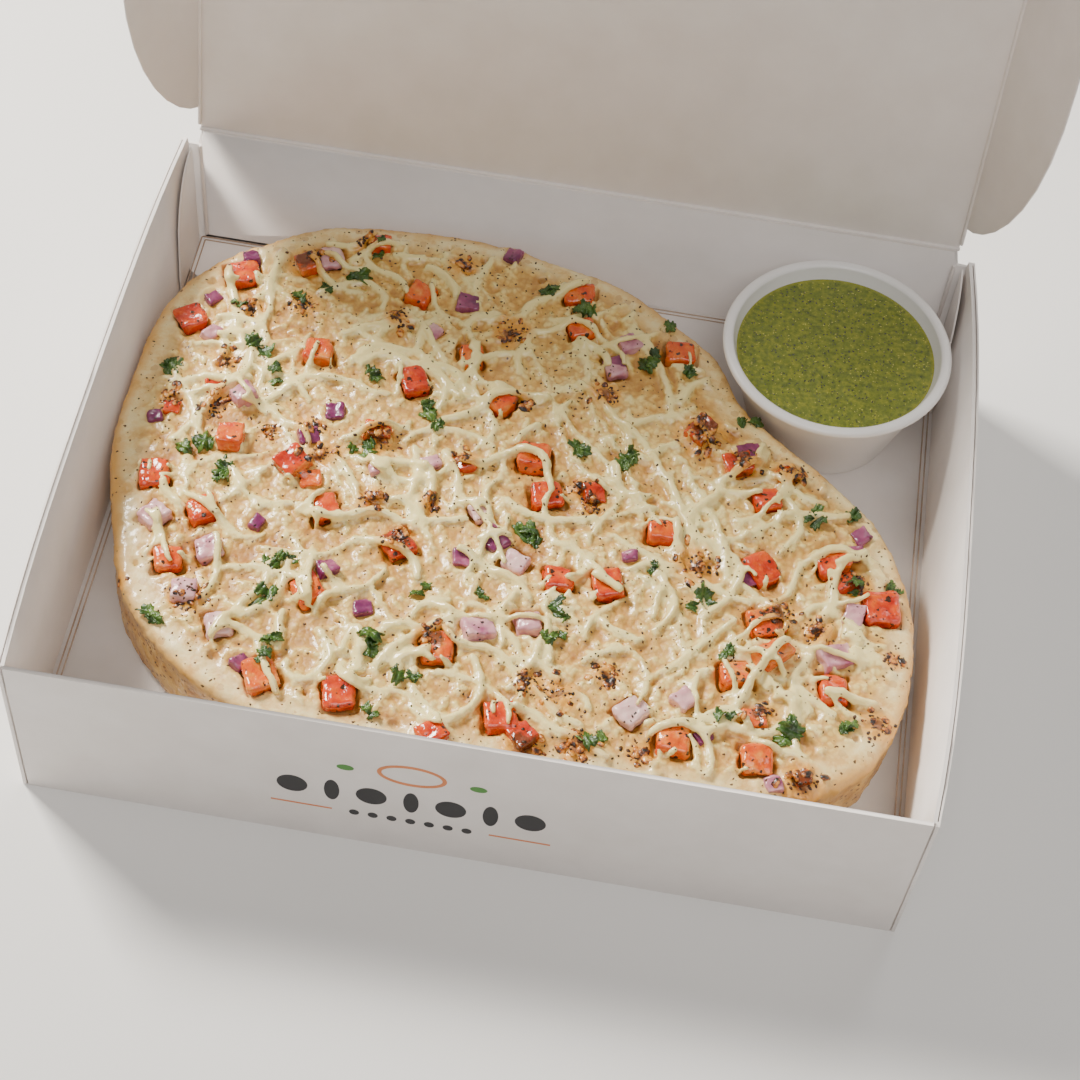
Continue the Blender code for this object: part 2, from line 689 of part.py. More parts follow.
def build_uttapam(bread_material, tomato_materials, onion_materials, leaf_material):
    """Bread with cheese strands fused on, and pockets for the toppings on it."""
    rng = random.Random(SEED)
    scene_collection = bpy.context.scene.collection
    bread = build_bread_core(bread_material)

    strands = bpy.data.collections.new("strands")
    scene_collection.children.link(strands)
    made = 0
    while made < STRAND_COUNT:
        path = strand_path(rng)
        if path is None:
            continue
        bm = bmesh.new()
        add_tube(bm, path, STRAND_RADIUS * rng.uniform(0.8, 1.2))
        add_cutter(bm, strands)
        made += 1
    for x_mm, y_mm, turn in SMALL_SPOTS:
        dice = bevelled_box((SMALL_SIZE, SMALL_SIZE * 0.8, SMALL_SIZE * 0.6), 0)
        place_mesh(dice, x_mm * MM, y_mm * MM, bread_height(x_mm * MM, y_mm * MM), turn)
        add_cutter(dice, strands)
    apply_boolean(bread, "UNION", strands)

    cutters = bpy.data.collections.new("cutters")
    scene_collection.children.link(cutters)
    build_dice("tomato", TOMATO_SPOTS, TOMATO_SIZE, lambda n: tomato_materials[n % 2], cutters, rng)
    build_dice("onion", ONION_SPOTS, ONION_SIZE, lambda n: onion_materials[n % 2], cutters, rng)
    build_leaves(leaf_material, cutters, rng)
    add_pores(cutters, rng)
    apply_boolean(bread, "DIFFERENCE", cutters)
    return bread


def main():
    """Build the whole carton."""
    clear_scene()
    board = make_material("white_board", (0.86, 0.82, 0.78), 0.55)
    cup_white = make_material("cup_white", (0.9, 0.89, 0.87), 0.35)
    chutney = make_material("green_chutney", (0.18, 0.24, 0.02), 0.3)
    bread = make_material("batter_and_cheese", (0.82, 0.66, 0.38), 0.5)
    tomato = [make_material("tomato_red", (0.68, 0.07, 0.02), 0.25),
              make_material("tomato_orange", (0.75, 0.16, 0.03), 0.28)]
    onion = [make_material("onion_pink", (0.66, 0.4, 0.46), 0.3),
             make_material("onion_purple", (0.27, 0.08, 0.2), 0.35)]
    leaf = make_material("coriander_green", (0.07, 0.16, 0.02), 0.5)
    build_tray(board)
    build_corner_flaps(board)
    build_lid(board)
    build_cup(cup_white)
    build_chutney(chutney)
    build_uttapam(bread, tomato, onion, leaf)


main()
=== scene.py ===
"""A white takeaway carton with a cheese-topped uttapam and a cup of green chutney."""

import math
import random

import bpy
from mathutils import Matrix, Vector, kdtree
from mathutils.bvhtree import BVHTree


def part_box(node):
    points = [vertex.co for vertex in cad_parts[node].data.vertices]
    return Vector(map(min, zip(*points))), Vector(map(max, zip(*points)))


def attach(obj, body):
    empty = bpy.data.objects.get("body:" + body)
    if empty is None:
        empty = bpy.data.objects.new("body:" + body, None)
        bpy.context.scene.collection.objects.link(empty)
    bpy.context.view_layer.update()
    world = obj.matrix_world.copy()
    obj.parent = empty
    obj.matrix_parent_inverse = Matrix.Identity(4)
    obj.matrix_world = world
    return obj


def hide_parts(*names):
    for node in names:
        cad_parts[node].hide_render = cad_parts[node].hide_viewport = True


MM = 0.001

# Camera, at the photograph's viewing angle
CAMERA_PLACE = (0.0340, -0.4209, 0.6027)
CAMERA_TURN = (0.6202, -0.0655, 0.1544)
CAMERA_LENS = 76.2

# Carton, in metres, as the frame has it
TRAY_TOP = 64 * MM
FLOOR_RISE = 14 * MM                 # closed base under the floor board
HALF_DEPTH = 107 * MM
SIDE_OUTER = 130.3 * MM
SIDE_BOW = {-1: 3.0 * MM, 1: 4.5 * MM}
BOARD = 1.2 * MM
HINGE_Y = 107.3 * MM
HINGE_Z = 64.15 * MM
LID_LEAN = math.radians(13.5)
EAR_CREASE_X = 125.8 * MM
LID_LENGTH = 212 * MM
BACK_CREASE_X = 125.2 * MM

# Cup
CUP_FOOT_RADIUS = 24.2 * MM
CUP_NECK_RADIUS = 34.3 * MM
CUP_WALL = 1.0 * MM

# Bread
MARGIN = 10 * MM                     # bare batter between the cheese and the edge
BREAD_VOXEL = 0.66 * MM
BREAD_TOP = FLOOR_RISE + 26 * MM
BREAD_CROWN = 1.2 * MM
STRAND_HEADINGS = (-55, -48, 35, 42, 100, 5)
MOST_TRIANGLES = 195000
DICE_VOXEL = 0.5 * MM
SHREDS = 2700
STRANDS = 230
PEPPER_FLAKES = 2600
TOASTED_BITS = 420
BURNT_CRUMBS = 900

# Browned patches on the top, in millimetres: middle and radius
TOAST_SPOTS = (
    (-100, 30, 5), (-98, 13, 6), (-113, 12, 5), (-80, 6, 4), (-68, 10, 6), (-62, 0, 7),
    (-13, 61, 7), (20, 42, 6), (-44, -14, 6), (-33, -28, 7), (56, -19, 8), (35, -62, 5),
    (-17, -60, 6), (22, -72, 7), (13, -69, 5), (-81, 59, 6), (-50, 59, 5), (53, 32, 9),
    (66, 22, 7), (81, 22, 6), (83, -33, 8), (95, -35, 6), (115, -63, 6), (94, -87, 8),
    (-90, -59, 6), (22, -2, 5), (17, 3, 5), (-83, 77, 8), (15, -91, 8), (81, -67, 5),
    (105, -16, 6), (-66, 89, 5), (-33, 86, 6), (-97, 54, 5), (-46, 8, 6), (-19, 6, 5),
    (30, -87, 6), (-26, -12, 4), (-113, -56, 4), (118, -40, 4), (48, -86, 5), (-5, 32, 4),
)

# Small dice that lie between the large ones, in millimetres: middle, turn and size
SMALL_TOMATO = (
    (-83, 75, 30, 7), (52, 32, 60, 9), (-70, -6, 50, 9), (-91, 0, 5, 8), (82, -47, 50, 9),
    (-11, -92, 40, 8), (65, 21, 20, 8), (-62, 90, 10, 7), (-64, -10, 20, 6), (102, -16, 30, 8),
    (-88, -39, 15, 5), (80, 21, 45, 7), (79, -69, 20, 7), (14, -87, 50, 8), (-47, 11, 10, 7),
    (-19, 5, 35, 6), (22, 2, 15, 7), (-101, 19, 20, 6), (-112, 9, 5, 5), (95, -85, 25, 5),
)
SMALL_ONION = (
    (-102, 76, 20, 6, 1), (-110, 56, 50, 5, 1), (-91, 17, 40, 8, 0), (-62, 17, 10, 6, 1),
    (-70, -78, 60, 5, 1), (-39, -53, 15, 6, 1), (-52, -42, 35, 6, 1), (-5, -22, 50, 8, 1),
    (-4, -54, 25, 8, 0), (-29, 70, 5, 7, 1), (-18, 94, 70, 5, 1), (68, 28, 20, 7, 1),
    (105, 3, 45, 6, 1), (105, -27, 80, 7, 0), (101, -43, 30, 9, 0), (36, -19, 15, 4, 1),
    (-38, 56, 60, 5, 0), (-92, -57, 10, 8, 0), (25, 64, 35, 7, 0), (58, -67, 50, 6, 0),
    (-116, 5, 20, 5, 1), (-107, 41, 65, 6, 0), (-44, -2, 15, 6, 0), (71, -21, 40, 5, 1),
    (104, -4, 10, 5, 1), (22, 54, 30, 6, 1), (-68, 6, 25, 6, 1), (-76, -29, 70, 5, 1),
    (87, -89, 20, 5, 0), (65, -77, 45, 5, 1), (-29, 3, 30, 6, 0), (-13, -30, 10, 6, 1),
)
LEAF_BITS = (
    (-62, 87, 6), (-83, 28, 8), (-53, 34, 8), (-117, 25, 9), (-93, -13, 11), (10, 75, 9),
    (-4, 80, 8), (38, 77, 6), (46, 57, 6), (33, 58, 9), (66, 41, 7), (14, 18, 9), (-32, 24, 9),
    (-51, 4, 9), (89, 8, 8), (102, 12, 7), (116, -13, 6), (59, -31, 9), (68, -49, 6),
    (-69, -43, 6), (-34, -66, 10), (-21, -75, 9), (-62, -71, 8), (-62, -77, 6), (19, -43, 8),
    (18, -52, 7), (105, -65, 7), (-24, -43, 6), (-5, -40, 6), (45, -23, 5), (-82, 61, 6),
    (-101, 53, 5), (35, -85, 8), (-30, -87, 6), (105, -17, 6), (-29, 17, 6), (-75, 66, 5),
    (70, -69, 6), (-65, -38, 8), (-99, -67, 10), (31, 16, 7),
)

SEED = 7
WAVER = 1.2 * MM                     # how far the borders of specks and grains wander
OVERHEAD = 100 * MM                  # a height above everything on the tray


def deselect():
    """Leave edit mode and select nothing."""
    if bpy.context.object and bpy.context.object.mode != "OBJECT":
        bpy.ops.object.mode_set(mode="OBJECT")
    bpy.ops.object.select_all(action="DESELECT")


def pick(piece):
    """Select one object alone and make it active."""
    deselect()
    piece.select_set(True)
    bpy.context.view_layer.objects.active = piece


def modify(piece, kind, **settings):
    """Add a modifier with its settings and apply it."""
    pick(piece)
    modifier = piece.modifiers.new(kind.lower(), kind)
    for name, value in settings.items():
        setattr(modifier, name, value)
    bpy.ops.object.modifier_apply(modifier=modifier.name)


def join(pieces, name):
    """Join meshes into one object."""
    deselect()
    for piece in pieces:
        piece.select_set(True)
    bpy.context.view_layer.objects.active = pieces[0]
    if len(pieces) > 1:
        bpy.ops.object.join()
    whole = bpy.context.object
    whole.name = name
    whole.data.name = name
    return whole


def settle(piece):
    """Put the object's place into its mesh."""
    pick(piece)
    bpy.ops.object.transform_apply(location=True, rotation=True, scale=True)
    return piece


def edit_whole(piece):
    """Enter edit mode on a piece with all of it selected."""
    pick(piece)
    bpy.ops.object.mode_set(mode="EDIT")
    bpy.ops.mesh.select_all(action="SELECT")


def smooth(piece, degrees):
    """Shade a piece smooth where its faces meet at less than an angle, or all over for None."""
    pick(piece)
    if degrees is None:
        bpy.ops.object.shade_smooth()
    else:
        bpy.ops.object.shade_smooth_by_angle(angle=math.radians(degrees))


def tidy_mesh(piece, distance=0.001 * MM):
    """Merge doubles and turn every face outwards."""
    edit_whole(piece)
    bpy.ops.mesh.remove_doubles(threshold=distance)
    bpy.ops.mesh.normals_make_consistent(inside=False)
    bpy.ops.object.mode_set(mode="OBJECT")


def limit_triangles(piece, most=MOST_TRIANGLES):
    """Thin a mesh that has more triangles than the given most."""
    count = sum(len(face.vertices) - 2 for face in piece.data.polygons)
    if count > most:
        modify(piece, "DECIMATE", ratio=most / count)


def finish_piece(piece, material, degrees, body, slot, *nodes):
    """Give a piece its material and shading, and hang it on its body."""
    piece.data.materials.append(material)
    smooth(piece, degrees)
    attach(piece, body)
    if nodes:
        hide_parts(*nodes)


def roughen(piece, layers, **settings):
    """Push a surface in and out by cloud noise, once for each size and strength."""
    for size, strength in layers:
        texture = bpy.data.textures.new("clouds", "CLOUDS")
        texture.noise_scale = size
        texture.noise_depth = 1
        modify(piece, "DISPLACE", texture=texture, strength=strength, mid_level=0.5,
               texture_coords="LOCAL", **settings)


def copy_node(node, name):
    """A merged copy of a CAD node's mesh."""
    piece = bpy.data.objects.new(name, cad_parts[node].data.copy())
    bpy.context.scene.collection.objects.link(piece)
    piece.data.materials.clear()
    tidy_mesh(piece)
    return piece


def box_bar(name, low, high):
    """A box between two corners."""
    middle = [(a + b) / 2 for a, b in zip(low, high)]
    size = [b - a for a, b in zip(low, high)]
    deselect()
    bpy.ops.mesh.primitive_cube_add(size=1, location=middle, scale=size)
    piece = bpy.context.object
    piece.name = name
    return settle(piece)


def round_bar(name, start, end, radius):
    """A round bar between two points, with domed ends."""
    start = Vector(start)
    end = Vector(end)
    deselect()
    bpy.ops.mesh.primitive_cylinder_add(
        vertices=20, radius=radius, depth=(end - start).length, location=(start + end) / 2,
        rotation=(end - start).to_track_quat("Z", "Y").to_euler())
    piece = bpy.context.object
    piece.name = name
    settle(piece)
    modify(piece, "BEVEL", width=radius * 0.6, segments=2, limit_method="ANGLE")
    smooth(piece, 50)
    return piece


# Node groups

def new_group(name, inputs, outputs):
    """A shader node group with float inputs and typed outputs."""
    group = bpy.data.node_groups.new(name, "ShaderNodeTree")
    for socket, value in inputs:
        made = group.interface.new_socket(socket, in_out="INPUT", socket_type="NodeSocketFloat")
        made.default_value = value
    for socket, kind in outputs:
        group.interface.new_socket(socket, in_out="OUTPUT", socket_type=kind)
    start = group.nodes.new("NodeGroupInput")
    end = group.nodes.new("NodeGroupOutput")
    return group, start, end


def add_node(tree, kind, **settings):
    """Add a node; names of sockets or properties set its values."""
    node = tree.nodes.new(kind)
    for key, value in settings.items():
        if key in node.inputs:
            node.inputs[key].default_value = value
        else:
            setattr(node, key, value)
    return node


def ramp(tree, source, stops):
    """A colour ramp from (place, value or colour) stops."""
    node = tree.nodes.new("ShaderNodeValToRGB")
    elements = node.color_ramp.elements
    while len(elements) > 1:
        elements.remove(elements[-1])
    for number, (place, value) in enumerate(stops):
        element = elements[0] if number == 0 else elements.new(place)
        element.position = place
        colour = value if isinstance(value, tuple) else (value, value, value)
        element.color = (*colour, 1.0)
    tree.links.new(source, node.inputs["Fac"])
    return node.outputs["Color"]


def mix(tree, fac, first, second, blend="MIX"):
    """Mix two colours; each is a socket or a plain colour."""
    node = tree.nodes.new("ShaderNodeMix")
    node.data_type = "RGBA"
    node.blend_type = blend
    for socket, value in ((node.inputs[0], fac), (node.inputs[6], first), (node.inputs[7], second)):
        if isinstance(value, bpy.types.NodeSocket):
            tree.links.new(value, socket)
        elif isinstance(value, tuple):
            socket.default_value = (*value, 1.0)
        else:
            socket.default_value = value
    return node.outputs[2]


def calculate(tree, operation, first, second=0.0, clamp=False):
    """One Math node; each operand is a socket or a number."""
    node = tree.nodes.new("ShaderNodeMath")
    node.operation = operation
    node.use_clamp = clamp
    for socket, value in ((node.inputs[0], first), (node.inputs[1], second)):
        if isinstance(value, bpy.types.NodeSocket):
            tree.links.new(value, socket)
        else:
            socket.default_value = value
    return node.outputs[0]


def sway(tree, value, tone, amount):
    """Add noise, counted from its middle, to a value."""
    centred = calculate(tree, "SUBTRACT", tone, 0.5)
    return calculate(tree, "ADD", value, calculate(tree, "MULTIPLY", centred, amount))


def wavering_cells(group, start, scale, **settings):
    """Voronoi cells with wavering borders; the group's Scale sets their size."""
    place = add_node(group, "ShaderNodeTexCoord").outputs["Object"]
    wobble = add_node(group, "ShaderNodeTexNoise", Scale=scale, Detail=1.0)
    group.links.new(place, wobble.inputs["Vector"])
    shifted = add_node(group, "ShaderNodeVectorMath", operation="MULTIPLY_ADD")
    group.links.new(wobble.outputs["Color"], shifted.inputs[0])
    shifted.inputs[1].default_value = (WAVER, WAVER, WAVER)
    group.links.new(place, shifted.inputs[2])
    cells = add_node(group, "ShaderNodeTexVoronoi", **settings)
    group.links.new(shifted.outputs[0], cells.inputs["Vector"])
    group.links.new(start.outputs["Scale"], cells.inputs["Scale"])
    return cells


def build_specks_group():
    """Scattered dark specks of uneven size, as a mask."""
    group, start, end = new_group(
        "specks", (("Scale", 400.0), ("Size", 0.2), ("Share", 0.5)), (("Mask", "NodeSocketFloat"),))
    cells = wavering_cells(group, start, 900.0)
    near = calculate(group, "LESS_THAN", cells.outputs["Distance"], start.outputs["Size"])
    pieces = add_node(group, "ShaderNodeSeparateColor")
    group.links.new(cells.outputs["Color"], pieces.inputs[0])
    chosen = calculate(group, "LESS_THAN", pieces.outputs[0], start.outputs["Share"])
    group.links.new(calculate(group, "MULTIPLY", near, chosen), end.inputs["Mask"])
    return group


def build_grain_group():
    """Two sizes of soft noise, as one height."""
    group, start, end = new_group(
        "grain", (("Coarse", 120.0), ("Fine", 900.0), ("Fine Share", 0.35)),
        (("Height", "NodeSocketFloat"), ("Tone", "NodeSocketFloat")))
    place = add_node(group, "ShaderNodeTexCoord").outputs["Object"]
    coarse = add_node(group, "ShaderNodeTexNoise", Detail=3.0, Roughness=0.55)
    fine = add_node(group, "ShaderNodeTexNoise", Detail=2.0, Roughness=0.6)
    for noise, scale in ((coarse, "Coarse"), (fine, "Fine")):
        group.links.new(place, noise.inputs["Vector"])
        group.links.new(start.outputs[scale], noise.inputs["Scale"])
    part = calculate(group, "MULTIPLY", fine.outputs["Fac"], start.outputs["Fine Share"])
    group.links.new(calculate(group, "ADD", coarse.outputs["Fac"], part), end.inputs["Height"])
    group.links.new(coarse.outputs["Fac"], end.inputs["Tone"])
    return group


def build_granules_group():
    """Soft grains packed side by side: their height, and the crevices between them."""
    group, start, end = new_group(
        "granules", (("Scale", 600.0),),
        (("Height", "NodeSocketFloat"), ("Crevice", "NodeSocketFloat")))
    cells = wavering_cells(group, start, 420.0, feature="SMOOTH_F1", Smoothness=0.35)
    distance = cells.outputs["Distance"]
    group.links.new(calculate(group, "SUBTRACT", 1.0, distance), end.inputs["Height"])
    gap = calculate(group, "MULTIPLY", calculate(group, "SUBTRACT", distance, 0.38), 3.2, True)
    group.links.new(gap, end.inputs["Crevice"])
    return group


def use_group(tree, group, **values):
    """Place a node group in a material with its own values."""
    node = tree.nodes.new("ShaderNodeGroup")
    node.node_tree = group
    for name, value in values.items():
        node.inputs[name.replace("_", " ")].default_value = value
    return node


def speckle(tree, specks, colour, fleck, scale, size, share):
    """Scatter flecks of one colour over another."""
    mask = use_group(tree, specks, Scale=scale, Size=size, Share=share).outputs["Mask"]
    return mix(tree, mask, colour, fleck)


def new_material(name, roughness, **constants):
    """A material and its Principled node, with constants set on its own sockets."""
    material = bpy.data.materials.new(name)
    material.use_nodes = True
    tree = material.node_tree
    shader = tree.nodes["Principled BSDF"]
    shader.inputs["Roughness"].default_value = roughness
    for key, value in constants.items():
        shader.inputs[key.replace("_", " ")].default_value = value
    return material, tree, shader


def bump(tree, shader, height, strength, distance):
    """Feed a height into the shader's normal."""
    node = add_node(tree, "ShaderNodeBump", Strength=strength, Distance=distance)
    tree.links.new(height, node.inputs["Height"])
    tree.links.new(node.outputs["Normal"], shader.inputs["Normal"])


def read_attribute(tree, name):
    """A float attribute of the mesh."""
    node = add_node(tree, "ShaderNodeAttribute", attribute_name=name)
    return node.outputs["Fac"]


def finish_surface(tree, shader, colour, height, strength, distance):
    """Link a material's colour and its relief."""
    tree.links.new(colour, shader.inputs["Base Color"])
    bump(tree, shader, height, strength, distance)


def grainy_material(name, roughness, grain, sizes, stops, relief, **constants):
    """A material whose colour and relief follow the grain: coarse, fine and fine share."""
    material, tree, shader = new_material(name, roughness, **constants)
    noise = use_group(tree, grain, Coarse=sizes[0], Fine=sizes[1], Fine_Share=sizes[2])
    colour = ramp(tree, noise.outputs["Tone"], stops)
    finish_surface(tree, shader, colour, noise.outputs["Height"], *relief)
    return material


def board_material(grain):
    """White coated carton board: faint mottling and fine fibres."""
    material, tree, shader = new_material("carton_board", 0.48, Specular_IOR_Level=0.4)
    noise = use_group(tree, grain, Coarse=60.0, Fine=1800.0, Fine_Share=0.25)
    tone = noise.outputs["Tone"]
    colour = ramp(tree, tone, ((0.3, (0.81, 0.755, 0.715)), (0.7, (0.87, 0.82, 0.785))))
    tree.links.new(ramp(tree, tone, ((0.3, 0.44), (0.7, 0.56))), shader.inputs["Roughness"])
    finish_surface(tree, shader, colour, noise.outputs["Height"], 0.12, 0.0002)
    return material


def cup_material(grain):
    """Smooth white cup wall with a faint wave."""
    return grainy_material(
        "cup_white", 0.3, grain, (45.0, 700.0, 0.1),
        ((0.3, (0.86, 0.85, 0.83)), (0.7, (0.9, 0.89, 0.875))),
        (0.06, 0.0002), Coat_Weight=0.15, Coat_Roughness=0.2)


def chutney_material(grain, specks):
    """Ground herb chutney: fine olive green with dark flecks and pale seeds."""
    material, tree, shader = new_material("green_chutney", 0.2, Coat_Weight=0.6, Coat_Roughness=0.08)
    noise = use_group(tree, grain, Coarse=700.0, Fine=2200.0, Fine_Share=0.6)
    colour = ramp(tree, noise.outputs["Tone"], (
        (0.3, (0.085, 0.125, 0.003)), (0.5, (0.17, 0.21, 0.005)), (0.72, (0.30, 0.32, 0.014))))
    colour = speckle(tree, specks, colour, (0.03, 0.05, 0.002), 900.0, 0.3, 0.4)
    colour = speckle(tree, specks, colour, (0.6, 0.56, 0.08), 1200.0, 0.24, 0.22)
    rim = ramp(tree, read_attribute(tree, "rim"), ((0.0, 0.8), (0.5, 0.0)))
    colour = mix(tree, rim, colour, (0.30, 0.31, 0.01))
    finish_surface(tree, shader, colour, noise.outputs["Height"], 0.8, 0.0006)
    return material


def batter_material(grain, specks, granules):
    """Griddled batter under melted cheese: porous side, golden rim, grainy cream top, with painted shade
    in its low places and crevices.
    """
    material, tree, shader = new_material(
        "batter_and_cheese", 0.35, Subsurface_Weight=0.15, Subsurface_Scale=0.002,
        Subsurface_Radius=(1.0, 0.7, 0.4), Coat_Weight=0.45, Coat_Roughness=0.14)
    noise = use_group(tree, grain, Coarse=150.0, Fine=1100.0, Fine_Share=0.3)
    blotch = use_group(tree, grain, Coarse=34.0, Fine=300.0, Fine_Share=0.2)
    packed = use_group(tree, granules, Scale=560.0)
    rise = read_attribute(tree, "rise")
    plain = ramp(tree, rise, ((0.55, 1.0), (0.8, 0.0)))
    # Painted shade: the cheesy top is golden brown where it lies low between strands and pale cream where
    # it rises.
    lift = sway(tree, rise, noise.outputs["Tone"], 0.4)
    top = ramp(tree, lift, (
        (0.06, (0.40, 0.16, 0.025)), (0.24, (0.72, 0.43, 0.10)), (0.44, (0.87, 0.66, 0.22)),
        (0.75, (0.92, 0.78, 0.34))))
    warm = ramp(tree, blotch.outputs["Tone"], ((0.5, 0.0), (0.72, 0.4)))
    top = mix(tree, warm, top, (0.84, 0.62, 0.20))
    uneven = sway(tree, read_attribute(tree, "margin"), blotch.outputs["Tone"], 0.4)
    cheesy = ramp(tree, uneven, ((0.22, 0.0), (0.45, 1.0)))
    grainy = calculate(tree, "MULTIPLY", plain, cheesy)
    # Painted shade: the crevices between the grains are darkened towards brown.
    crevice = calculate(tree, "MULTIPLY", packed.outputs["Crevice"], grainy)
    top = mix(tree, calculate(tree, "MULTIPLY", crevice, 0.65), top, (0.52, 0.25, 0.05))
    skin = ramp(tree, noise.outputs["Height"], (
        (0.45, (0.70, 0.43, 0.14)), (0.6, (0.84, 0.62, 0.26)), (0.8, (0.89, 0.74, 0.38))))
    top = mix(tree, cheesy, skin, top)
    pores = use_group(tree, specks, Scale=230.0, Size=0.3, Share=0.5)
    bare = calculate(tree, "SUBTRACT", 1.0, cheesy)
    hole = calculate(tree, "MULTIPLY", pores.outputs["Mask"], bare)
    top = mix(tree, calculate(tree, "MULTIPLY", hole, 0.7), top, (0.60, 0.38, 0.15))
    golden = ramp(tree, uneven, ((0.0, 0.95), (0.06, 0.6), (0.15, 0.0)))
    top = mix(tree, golden, top, (0.68, 0.36, 0.08))
    toast = read_attribute(tree, "toast")
    patchy = calculate(tree, "MULTIPLY", toast, calculate(tree, "ADD", noise.outputs["Height"], 0.1))
    top = mix(tree, ramp(tree, patchy, ((0.2, 0.0), (0.45, 0.9))), top, (0.76, 0.34, 0.04))
    top = mix(tree, ramp(tree, patchy, ((0.5, 0.0), (0.66, 0.9))), top, (0.20, 0.06, 0.015))
    height = add_node(tree, "ShaderNodeSeparateXYZ")
    tree.links.new(add_node(tree, "ShaderNodeTexCoord").outputs["Object"], height.inputs[0])
    level = calculate(tree, "SUBTRACT", height.outputs["Z"], FLOOR_RISE)
    level = calculate(tree, "MULTIPLY", level, 38.0)
    wave = calculate(tree, "MULTIPLY", noise.outputs["Tone"], 0.12)
    level = calculate(tree, "ADD", level, wave)
    low = ramp(tree, level, ((0.16, 1.0), (0.45, 0.95), (0.8, 0.8), (0.97, 0.0)))
    side = ramp(tree, noise.outputs["Height"], (
        (0.42, (0.36, 0.14, 0.02)), (0.6, (0.62, 0.32, 0.06)), (0.8, (0.78, 0.50, 0.15))))
    fine = use_group(tree, specks, Scale=560.0, Size=0.32, Share=0.55)
    side = mix(tree, fine.outputs["Mask"], side, (0.20, 0.075, 0.018))
    colour = mix(tree, low, top, side)
    colour = speckle(tree, specks, colour, (0.10, 0.05, 0.02), 330.0, 0.14, 0.3)
    tree.links.new(colour, shader.inputs["Base Color"])
    tree.links.new(ramp(tree, lift, ((0.1, 0.5), (0.7, 0.24))), shader.inputs["Roughness"])
    relief = calculate(tree, "MULTIPLY", packed.outputs["Height"], grainy)
    relief = calculate(tree, "ADD", relief, noise.outputs["Height"])
    relief = calculate(tree, "SUBTRACT", relief, calculate(tree, "MULTIPLY", hole, 0.9))
    sunk = calculate(tree, "MULTIPLY", fine.outputs["Mask"], calculate(tree, "MULTIPLY", low, 0.8))
    bump(tree, shader, calculate(tree, "SUBTRACT", relief, sunk), 0.7, 0.0005)
    return material


def tomato_material(grain, specks):
    """Wet tomato: red flesh with orange patches, pale streaks and charred specks."""
    material, tree, shader = new_material(
        "tomato", 0.2, Subsurface_Weight=0.15, Subsurface_Scale=0.002,
        Subsurface_Radius=(1.0, 0.3, 0.1), Coat_Weight=0.6, Coat_Roughness=0.08)
    noise = use_group(tree, grain, Coarse=230.0, Fine=900.0, Fine_Share=0.4)
    tone = calculate(tree, "ADD", calculate(tree, "MULTIPLY", read_attribute(tree, "tone"), 0.3),
                     noise.outputs["Tone"])
    colour = ramp(tree, tone, (
        (0.35, (0.44, 0.016, 0.003)), (0.55, (0.64, 0.05, 0.004)), (0.75, (0.77, 0.13, 0.008)),
        (0.95, (0.82, 0.30, 0.05))))
    toast = calculate(tree, "MULTIPLY", read_attribute(tree, "toast"), noise.outputs["Height"])
    colour = mix(tree, ramp(tree, toast, ((0.34, 0.0), (0.52, 0.9))), colour, (0.12, 0.03, 0.008))
    colour = speckle(tree, specks, colour, (0.05, 0.018, 0.008), 360.0, 0.26, 0.45)
    finish_surface(tree, shader, colour, noise.outputs["Height"], 0.7, 0.0007)
    return material


def onion_material(grain, specks):
    """Red onion: translucent pink flesh that deepens to purple skin."""
    material, tree, shader = new_material(
        "onion", 0.28, Subsurface_Weight=0.3, Subsurface_Scale=0.003,
        Subsurface_Radius=(0.9, 0.5, 0.6), Coat_Weight=0.35, Coat_Roughness=0.12)
    noise = use_group(tree, grain, Coarse=140.0, Fine=700.0, Fine_Share=0.3)
    tone = sway(tree, read_attribute(tree, "tone"), noise.outputs["Tone"], 1.4)
    colour = ramp(tree, tone, (
        (0.1, (0.76, 0.50, 0.47)), (0.4, (0.64, 0.32, 0.35)), (0.7, (0.34, 0.08, 0.17)),
        (1.0, (0.16, 0.02, 0.09))))
    colour = speckle(tree, specks, colour, (0.05, 0.03, 0.03), 330.0, 0.15, 0.3)
    finish_surface(tree, shader, colour, noise.outputs["Height"], 0.4, 0.0004)
    return material


def leaf_material(grain):
    """Wilted coriander: dark green with paler veins and a wet sheen."""
    return grainy_material(
        "coriander", 0.35, grain, (260.0, 1300.0, 0.5),
        ((0.3, (0.012, 0.036, 0.004)), (0.5, (0.036, 0.095, 0.008)), (0.72, (0.12, 0.21, 0.03))),
        (0.7, 0.0008), Coat_Weight=0.25, Coat_Roughness=0.2)


def char_material(grain):
    """Burnt crumbs and ground pepper: black to warm brown."""
    return grainy_material(
        "char", 0.4, grain, (300.0, 1500.0, 0.5),
        ((0.35, (0.016, 0.009, 0.006)), (0.7, (0.12, 0.05, 0.02))), (0.5, 0.0004))


def toasted_material(grain):
    """Crisp toasted cheese: amber lumps with brown and black patches."""
    return grainy_material(
        "toasted", 0.3, grain, (420.0, 1500.0, 0.5),
        ((0.40, (0.014, 0.008, 0.006)), (0.47, (0.13, 0.035, 0.010)),
         (0.54, (0.55, 0.17, 0.02)), (0.68, (0.80, 0.40, 0.07))),
        (0.8, 0.0006), Coat_Weight=0.4, Coat_Roughness=0.15)


def crease_shadow_material(grain):
    """Brown painted shadow that lies along a scored line."""
    material, tree, shader = new_material("crease_painted_shadow", 0.7)
    noise = use_group(tree, grain, Coarse=90.0, Fine=1500.0, Fine_Share=0.3)
    colour = ramp(tree, noise.outputs["Tone"], ((0.3, (0.33, 0.23, 0.16)), (0.7, (0.50, 0.38, 0.29))))
    tree.links.new(colour, shader.inputs["Base Color"])
    return material


